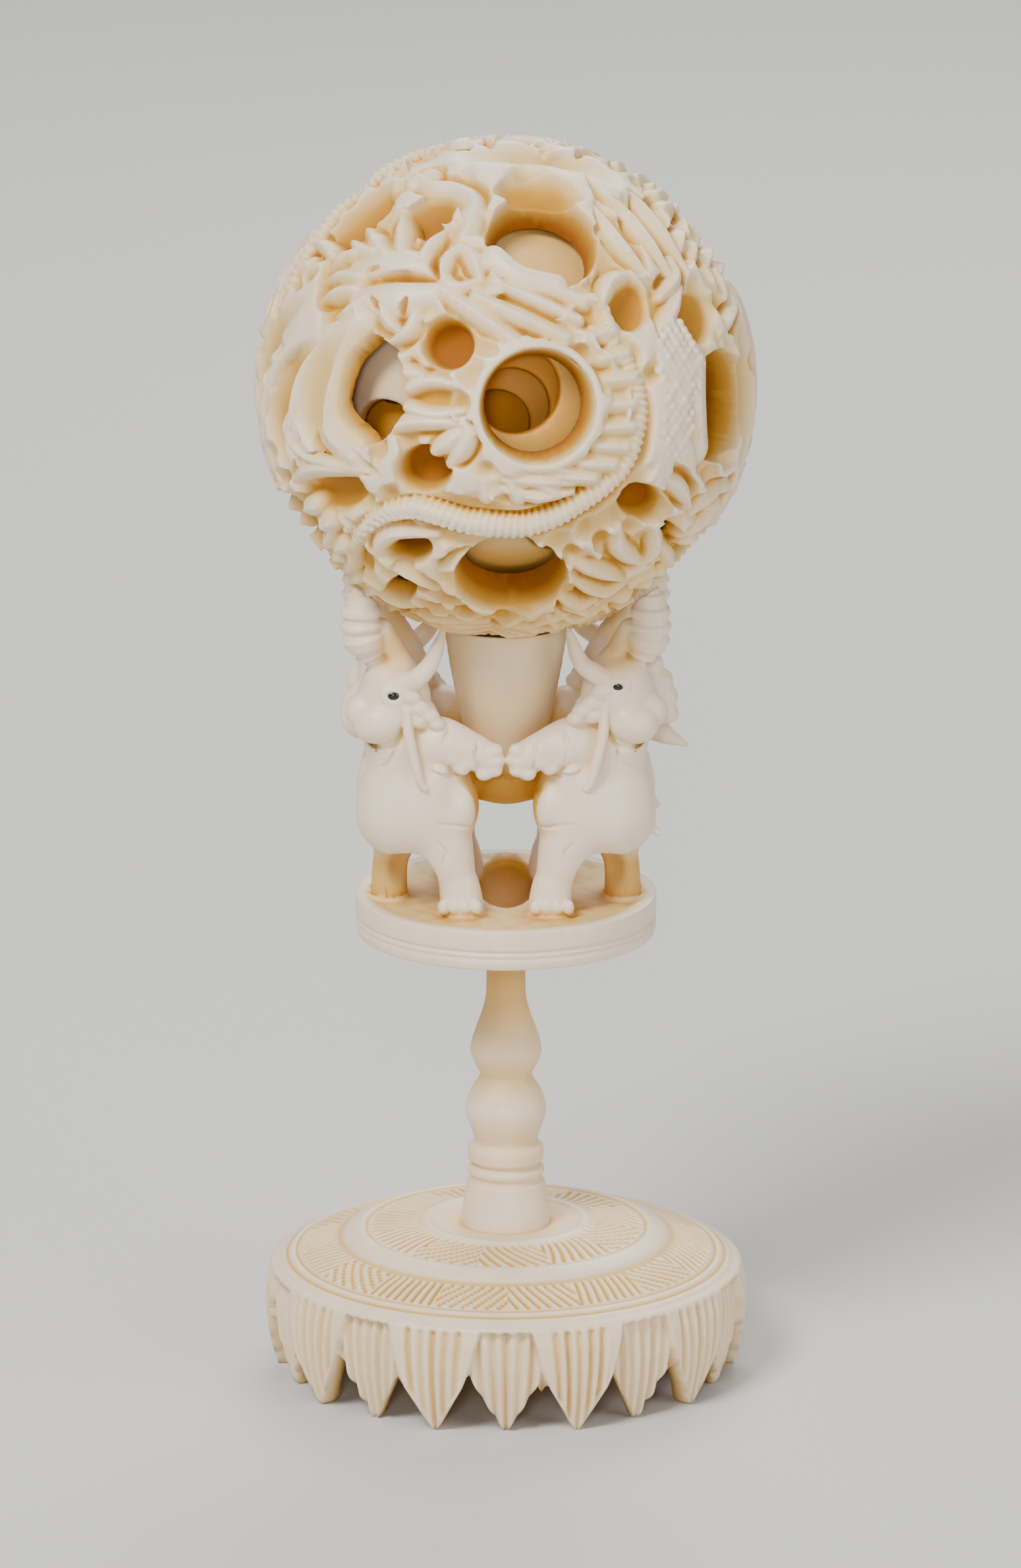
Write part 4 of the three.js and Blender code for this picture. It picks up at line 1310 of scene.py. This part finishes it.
def make_outer_ball():
    clay = Clay(BALL_CENTRE - BALL_REACH, BALL_CENTRE + BALL_REACH, CARVING_STEP)
    axes = hole_axes()
    shell(clay)
    gouge_ground(clay, axes)
    for sign in (1, -1):
        hollow_out(clay, sign)
    fill_sides(clay, axes)
    for axis in axes[:2]:
        rim_round(clay, axis)
    for sign in (1, -1):
        dragon(clay, sign)
    for axis in axes:
        cone_hole(clay, axis, HOLE_NEAR, HOLE_FAR)
    for sign in (1, -1):
        ridges(clay, OVERHANGS, sign, shares=(1,), tall=0.5, base=OVERHANG_BASE)
        valley(clay, *OVERHANG_HOLLOW, sign)
    trim_to_ball(clay)
    made = surface_of(clay, "ball_outer_carved", BALL_FACES)
    places = vertex_places(made)
    # Painted shade: darker with depth below the ball's surface, and at the underside
    depth = BALL_RADIUS - np.linalg.norm(places - BALL_CENTRE, axis=1)
    depth = np.clip(depth / DARKEST_DEPTH, 0, 1)
    painted_shade = (UNDERSIDE_SHARE + (1 - UNDERSIDE_SHARE) * depth) * painted_underside_shade(places, BALL_RADIUS)
    shade_hollows(made, clay, DEPTH_TONE * depth + painted_shade)
    return made


# Inner balls: smooth shells with the same holes, each turned another way

# Painted shade, growing from the outside of each inner ball to its inside and the walls of its holes
WALL_TONE = 0.45


def make_inner_ball(node, level, outer, turns, level_tone):
    clay = Clay(BALL_CENTRE - outer - 1, BALL_CENTRE + outer + 1, INNER_STEP)
    slices, _, height = clay.from_middle(BALL_CENTRE, outer + 1)
    clay.field[slices] = np.maximum(height - outer, outer - INNER_WALL - height)
    turn = Matrix.Identity(3)
    for angle, axis in zip(turns, "XYZ"):
        turn = turn @ Matrix.Rotation(math.radians(angle), 3, axis)
    for axis in hole_axes():
        cone_hole(clay, np.array(turn @ Vector(axis)), INNER_HOLE_NEAR, outer + 5)
    made = surface_of(clay, node + "_smooth", INNER_FACES)
    places = vertex_places(made)
    # Painted shade: the level's tone, the inside of the wall, the underside and the places behind the holes
    depth = outer - np.linalg.norm(places - BALL_CENTRE, axis=1)
    painted_shade = painted_underside_shade(places, outer) + shaded_behind(places, outer, level)
    shade_hollows(made, clay, level_tone + WALL_TONE * np.clip(depth / INNER_WALL, 0, 1) + painted_shade)
    return made


# Platform, cup and elephants. Places on an elephant are (out from the middle, depth, up).

PLATFORM_GROOVES = ((1.3, 0.2), (2.0, 0.26))
GROOVE_WIDTH = 0.16
ROUNDED_BELOW = 1.2
ROUNDING = 0.15
DISH_DEPTH = 0.5
DISH_FROM_EDGE, DISH_OVER = 1.1, 1.2
CHISEL_DEPTH = 0.05
CHISEL_FROM_EDGE = 1.5
PIT_MIDDLE = 5.3
PIT = (3.4, 10.4, 3.0)
CUP_HEIGHTS = (14.3, 17.5, 20.0, 22.5, 26.0, 30.0, 33.5)
CUP_RADII = (3.9, 4.2, 5.0, 5.7, 6.3, 6.8, 6.9)
# One tusk stands outwards, at the right
OUTWARD_TUSK = ((15.2, 1.6, 18.8), (17.6, 1.0, 17.8), (20.0, 0.6, 16.7))
STAND_LOW = (-19.5, -17.5, PLATFORM_BOTTOM - 1)
STAND_HIGH = (21.5, 17.5, PLATFORM_TOP + 38)
SEAT_REACH = (21.0, 21.0, 12.0)
SEAT_BELOW_BALL = 20.0
EYE_RADIUS = 0.62
EYE_SHAPE = (1.15, 0.6, 0.9)
EYE_SUNK = 0.1


def platform_block(clay):
    low = np.array([-PLATFORM_RADIUS - 1, -PLATFORM_RADIUS - 1, PLATFORM_BOTTOM - 1])
    high = np.array([PLATFORM_RADIUS + 1, PLATFORM_RADIUS + 1, PLATFORM_TOP + 1])
    slices, (x, y, z) = clay.window(low, high)
    radius = np.sqrt(x * x + y * y)
    up = z - PLATFORM_BOTTOM
    side = PLATFORM_RADIUS - ROUNDING * np.maximum(0, ROUNDED_BELOW - up) ** 2
    for height, depth in PLATFORM_GROOVES:
        side = side - depth * np.exp(-((up - height) / GROOVE_WIDTH) ** 2)
    dish = np.clip((PLATFORM_RADIUS - DISH_FROM_EDGE - radius) / DISH_OVER, 0, 1)
    top = PLATFORM_THICKNESS - DISH_DEPTH * dish
    chisel = np.sin(x * 1.9 + 1.3 * np.sin(y * 0.9)) * np.sin(y * 1.6 + x * 0.4)
    top = top + CHISEL_DEPTH * chisel * (radius < PLATFORM_RADIUS - CHISEL_FROM_EDGE)
    edge = np.maximum(radius - side, np.maximum(up - top, -up))
    clay.put(slices, edge.astype(np.float32), 0)
    egg(clay, (0, PIT_MIDDLE, PLATFORM_TOP), PIT, blend=0.3, carve=True)


def cup(clay):
    stroke(clay, [(0, 0, PLATFORM_TOP + up) for up in CUP_HEIGHTS], CUP_RADII, blend=0.8, steps=3)
    egg(clay, (0, 0, PLATFORM_TOP + 14.6), (10.0, 4.0, 4.1), blend=1.2)


EYE_OUT = 12.4
EYE_FOLDS = 14
EYE_FOLD = (0.34, 0.42, 0.28)
EYE_FOLD_SUNK = 0.15
EYE_HALF_WIDTH, EYE_HALF_HEIGHT = 1.1, 0.75
SNOUT_LUMPS = (
    (9.6, 23.3, 1.25), (8.5, 22.5, 1.1), (7.7, 21.6, 0.95), (9.9, 21.9, 1.1), (10.6, 24.6, 1.2),
)
# The farthest depth at which the skin is looked for
SKIN_REACH = 16


class Elephant:
    """A rearing elephant: side is -1 to the left and 1 to the right, front is -1 to the viewer."""

    def __init__(self, clay, side, front):
        self.clay = clay
        self.side = side
        self.front = front
        self.lift = 0.6 if side > 0 else 0.0
        self.eye_up = 25.9 if side > 0 else 24.9

    def at(self, out, depth, up):
        return np.array([self.side * out, self.front * depth, PLATFORM_TOP + up])

    def lump(self, place, radii, tilt=0.0, blend=1.0, carve=False):
        egg(self.clay, self.at(*place), radii, blend=blend, tilt=self.side * tilt, carve=carve)

    def limb(self, places, radii, blend=0.8, **how):
        stroke(self.clay, [self.at(*place) for place in places], radii, blend=blend, **how)

    def skin_depth(self, out, up):
        """How far towards its front the ivory reaches."""
        depths = np.arange(0, SKIN_REACH, self.clay.step)
        places = np.array([self.at(out, depth, up) for depth in depths])
        inside = sample(self.clay.field, (places - self.clay.low) / self.clay.step) < 0
        return float(depths[inside][-1]) if inside.any() else 0.0

    def body(self):
        self.lump((9.9, 5.0, 12.0), (6.5, 5.0, 6.6), blend=1.5)
        self.lump((11.6, 4.9, 10.0), (4.9, 4.8, 4.4), blend=1.2)
        self.lump((8.0, 5.2, 15.4), (3.9, 3.9, 4.0), blend=1.5)
        self.lump((11.2, 5.2, 18.4), (4.5, 4.0, 4.0), blend=1.5)
        self.limb([(7.6, 6.0, 9.6), (6.3, 6.7, 5.8), (5.2, 7.2, 2.6), (4.9, 7.4, 0.6)],
                  [3.6, 3.0, 2.2, 2.4], blend=1.0)
        self.lump((4.9, 6.6, 11.6), (1.9, 2.9, 3.2), blend=0.9)
        self.limb([(12.2, 1.8, 8.0), (12.9, 1.2, 3.0), (13.0, 1.2, 0.2)], [2.8, 1.9, 2.0], blend=0.8)
        self.lump((10.8, 6.4, 3.4), (3.4, 4.6, 3.3), tilt=10, blend=0.5, carve=True)
        self.limb([(9.6, 5.6, 18.4), (7.2, 6.8, 18.9), (4.4, 7.6, 18.4), (1.9, 7.9, 17.4)],
                  [3.3, 2.9, 2.2, 1.8], blend=0.5)
        self.limb([(9.4, 2.6, 17.2), (6.4, 3.4, 15.6), (4.6, 3.8, 13.4)], [2.4, 1.9, 1.6], blend=0.6)
        for out, up in ((1.25, 18.6), (1.05, 17.4), (1.3, 16.3), (2.4, 15.9)):
            self.lump((out, 8.7, up), (0.95, 1.0, 0.75), blend=0.35)
        for out, up in ((5.9, 17.6), (5.0, 16.6), (3.9, 18.9), (7.2, 16.2), (4.2, 17.2)):
            self.lump((out, 9.0, up), (1.0, 0.8, 0.7), tilt=-25, blend=0.35)
        for out in (3.3, 4.5, 5.7, 6.9):
            self.lump((out, 9.3, 0.7), (0.68, 0.8, 0.9), blend=0.15)
        self.groove([(3.9, 9.8), (5.2, 9.95), (7.6, 10.4)], 0.3)
        self.groove([(7.0, 5.6), (6.6, 7.0), (7.6, 8.2)], 0.3)
        self.groove([(8.4, 16.4), (6.8, 15.8), (5.0, 15.8)], 0.38)
        self.groove([(3.1, 19.8), (3.3, 18.2), (3.0, 16.6)], 0.28)
        self.groove([(6.2, 21.2), (6.9, 19.4), (6.5, 17.4)], 0.3)

    def groove(self, places, radius):
        """A cut along the skin, at the depth where the skin is."""
        on_skin = [(out, self.skin_depth(out, up) + 0.05, up) for out, up in places]
        self.limb(on_skin, [radius * 0.4, radius, radius * 0.4], blend=0.12, carve=True, steps=8)

    def snout(self):
        """The lumps of the jaw between the cheek and the raised foreleg."""
        for out, up, size in SNOUT_LUMPS:
            self.lump((out, 8.3, up + self.lift), (size * 1.15, 1.2, size * 0.8), tilt=-20, blend=0.18)

    def head(self):
        lift = self.lift
        self.lump((12.4, 5.5, 23.6 + lift), (4.1, 3.9, 4.3), blend=1.0)
        self.lump((12.8, 6.1, 26.2 + lift), (2.8, 2.9, 2.3), blend=0.8)
        self.lump((10.2, 6.9, 22.9 + lift), (2.7, 2.2, 1.6), tilt=-16, blend=0.4)
        self.lump((8.7, 7.2, 21.6 + lift), (1.6, 1.6, 1.2), tilt=-16, blend=0.4)
        self.limb([(11.4, 5.6, 26.2 + lift), (12.3, 6.0, 29.0), (13.8, 6.4, 31.6)],
                  [2.1, 1.35, 1.5], blend=0.4)
        self.limb([(14.6, 6.4, 28.7), (15.5, 6.8, 30.6), (15.9, 7.0, 32.6), (15.9, 7.1, 36.0)],
                  [1.4, 2.5, 2.4, 1.6], blend=0.2, ripple=(0.4, 1.35, 0.0))
        self.snout()
        self.limb([(11.4, 7.8, 25.8 + lift), (9.7, 8.4, 26.8 + lift), (8.1, 8.2, 28.8), (6.7, 7.4, 32.6)],
                  [1.2, 1.05, 0.8, 0.22], blend=0.2)
        depth = self.skin_depth(EYE_OUT, self.eye_up) - EYE_FOLD_SUNK
        for turn in range(EYE_FOLDS):
            angle = turn * 2 * math.pi / EYE_FOLDS
            out = EYE_OUT + EYE_HALF_WIDTH * math.cos(angle)
            up = self.eye_up + EYE_HALF_HEIGHT * math.sin(angle)
            self.lump((out, depth, up), EYE_FOLD, blend=0.25)

    def ear(self):
        self.lump((13.9, 7.9, 21.6), (3.0, 2.3, 2.4), tilt=14, blend=0.3)
        self.lump((15.8, 6.6, 22.6), (2.0, 1.8, 2.0), blend=0.5)
        self.groove([(16.2, 19.8), (14.4, 18.9), (12.4, 19.1), (11.3, 20.6)], 0.45)
        self.limb([(10.9, 9.0, 23.2), (10.7, 9.7, 20.6), (10.1, 10.0, 17.8), (9.4, 9.9, 15.2),
                   (8.9, 9.8, 14.5)],
                  [0.5, 0.62, 0.6, 0.55, 0.4], blend=0.15, flat=0.8, middle=self.at(10.9, -60, 23.2))
        self.groove([(11.9, 19.8), (12.6, 17.6), (13.8, 16.4)], 0.28)
        self.groove([(15.0, 18.8), (14.2, 18.2)], 0.25)

    def tail(self):
        self.limb([(14.8, 5.4, 10.2), (16.2, 5.8, 8.9), (17.0, 6.0, 8.2)], [0.9, 0.7, 0.3], blend=0.3)

    def make(self):
        self.body()
        self.head()
        self.ear()
        if self.side > 0:
            self.tail()
        if self.front > 0:
            self.lump((15.6, 2.2, 20.5), (2.7, 1.9, 3.6), tilt=-20, blend=0.6)
        elif self.side > 0:
            self.lump((16.2, 3.4, 23.8), (2.4, 1.6, 3.8), tilt=-14, blend=0.6)
            for out, up in ((16.4, 27.2), (17.5, 25.3), (18.1, 23.3), (18.2, 21.3)):
                self.lump((out, 3.2, up), (1.0, 1.3, 1.0), tilt=-25, blend=0.5)


def trim_by_seat(clay):
    """Makes room for the ball."""
    middle = np.array([0, 0, BALL_CENTRE[2] - SEAT_BELOW_BALL])
    slices, _, height = clay.from_middle(middle, np.array(SEAT_REACH))
    clay.field[slices] = np.maximum(clay.field[slices], BALL_RADIUS - REST_GAP - height)


# Painted shade on the stand: under the cup and the arms, in the pit, on the platform, low between the legs,
# under the trunks; and a tone on the wall of the cup
CUP_TONE = 0.5
PIT_TONE = 0.75
TOP_TONE = 0.13
LOW_TONE = 0.42
TRUNK_TONE = 0.25
CUP_WALL_TONE = 0.15


def stand_shade_and_tint(places):
    """Painted shade in honey tones where the stand is sheltered, and a tone on the wall of the cup."""
    out, depth = np.abs(places[:, 0]), np.abs(places[:, 1])
    up = places[:, 2] - PLATFORM_TOP
    radius = np.hypot(out, depth)
    on_cup = (np.clip(1.3 - np.abs(up - 12.6) / 3.6, 0, 1) * np.clip((6.2 - out) / 2.2, 0, 1)
              * (depth < 8.4))
    in_pit = np.clip(-(up + 0.25) / 1.2, 0, 1) * (radius < PLATFORM_RADIUS - 1)
    on_top = (np.abs(up + 0.4) < 0.6) * (radius < PLATFORM_RADIUS - 1.2)
    low = (np.clip((7.0 - up) / 3.0, 0, 1) * (up > 0.1) * np.clip((8.6 - depth) / 1.5, 0, 1)
           * (out > 6.5))
    stalk = np.clip(1.4 - np.hypot(out - 12.6, (up - 29.6) * 0.8) / 2.2, 0, 1) * (up < 32.5)
    under_arm = np.clip(1.2 - np.abs(up - 13.0) / 3.2, 0, 1) * np.clip((6.4 - out) / 3.0, 0, 1)
    under_arm = under_arm * np.clip((9.0 - depth) / 2.0, 0, 1)
    cup_wall = CUP_WALL_TONE * (radius < 7.6) * (up > 14) * np.clip((33.0 - up) / 2.0, 0, 1)
    honey = CUP_TONE * np.maximum(on_cup, under_arm) + PIT_TONE * in_pit + TOP_TONE * on_top
    return honey + LOW_TONE * low + TRUNK_TONE * stalk + cup_wall


def make_elephant_stand():
    clay = Clay(STAND_LOW, STAND_HIGH, STAND_STEP)
    platform_block(clay)
    cup(clay)
    elephants = [Elephant(clay, side, front) for side in (-1, 1) for front in (1, -1)]
    for elephant in elephants:
        elephant.make()
    tusk = [(x, y, PLATFORM_TOP + up) for x, y, up in OUTWARD_TUSK]
    stroke(clay, tusk, [1.4, 1.1, 0.3], blend=0.4)
    trim_by_seat(clay)
    made = surface_of(clay, "elephants_carved", STAND_FACES)
    shade_hollows(made, clay, stand_shade_and_tint(vertex_places(made)))
    return made, [make_eye(elephant) for elephant in elephants]


def make_eye(elephant):
    name = f"eye_{'left' if elephant.side < 0 else 'right'}_{'front' if elephant.front < 0 else 'back'}"
    mesh = bpy.data.meshes.new(name)
    form = bmesh.new()
    bmesh.ops.create_uvsphere(form, u_segments=24, v_segments=14, radius=EYE_RADIUS * METRES)
    form.to_mesh(mesh)
    form.free()
    smooth_shaded(mesh)
    made = object_of(mesh, name)
    made.scale = EYE_SHAPE
    depth = elephant.skin_depth(EYE_OUT, elephant.eye_up) - EYE_SUNK
    made.location = elephant.at(EYE_OUT, depth, elephant.eye_up) * METRES
    return made


# Assembly

finish_piece(make_foot(), IVORY, "ivory", "foot")
finish_piece(make_stem(), IVORY, "ivory", "stem")

elephant_stand, eyes = make_elephant_stand()
finish_piece(elephant_stand, IVORY, "ivory", "elephant_stand")
for eye in eyes:
    finish_piece(eye, INLAY, "eye_inlay")

finish_piece(make_outer_ball(), IVORY, "ivory", "ball_outer")
for level, node in enumerate(INNER_BALLS):
    finish_piece(make_inner_ball(node, level, *INNER_BALLS[node]), SHADED_IVORY, "inner_ivory", node)


# Floor, light and camera

# In metres: the size of the floor, and the place, size and power of each light
FLOOR_SIZE = 6
LIGHTS = {
    "key": ((-0.35, -0.5, 0.75), 0.3, 9.5),
    "fill": ((0.7, -0.6, 0.35), 0.6, 3.8),
    "front": ((-0.12, -1.75, 0.66), 0.25, 9),
    "back": ((0.1, 0.6, 0.6), 0.5, 5),
}
LIGHT_AIM = (0, 0, 0.075)
ROOM_COLOUR = (1.0, 0.99, 0.97, 1)
ROOM_STRENGTH = 0.3
NEAREST_SEEN = 0.05


def make_floor():
    bpy.ops.mesh.primitive_plane_add(size=FLOOR_SIZE, location=(0, 0, 0))
    made = bpy.context.object
    made.name = "floor"
    made.data.materials.append(FLOOR)


def turned_to(direction):
    return direction.to_track_quat("-Z", "Y").to_euler()


def make_light(name, place, size, power):
    lamp = bpy.data.lights.new(name, "AREA")
    lamp.size = size
    lamp.energy = power
    made = object_of(lamp, name)
    made.location = place
    made.rotation_euler = turned_to(Vector(LIGHT_AIM) - Vector(place))


def make_room():
    """A pale light from all sides."""
    world = bpy.data.worlds.new("soft room")
    bpy.context.scene.world = world
    world.use_nodes = True
    background = world.node_tree.nodes["Background"].inputs
    background["Color"].default_value = ROOM_COLOUR
    background["Strength"].default_value = ROOM_STRENGTH


def make_camera():
    lens = bpy.data.cameras.new("camera")
    lens.lens = CAMERA_LENS
    lens.sensor_width = SENSOR_WIDTH
    lens.clip_start = NEAREST_SEEN
    made = object_of(lens, "camera")
    away = Vector((0, -math.cos(VIEW_TILT), math.sin(VIEW_TILT))) * CAMERA_DISTANCE * METRES
    made.location = Vector(CAMERA_AIM) * METRES + away
    made.rotation_euler = turned_to(-away)
    bpy.context.scene.camera = made


make_floor()
for name in LIGHTS:
    make_light(name, *LIGHTS[name])
make_room()
make_camera()
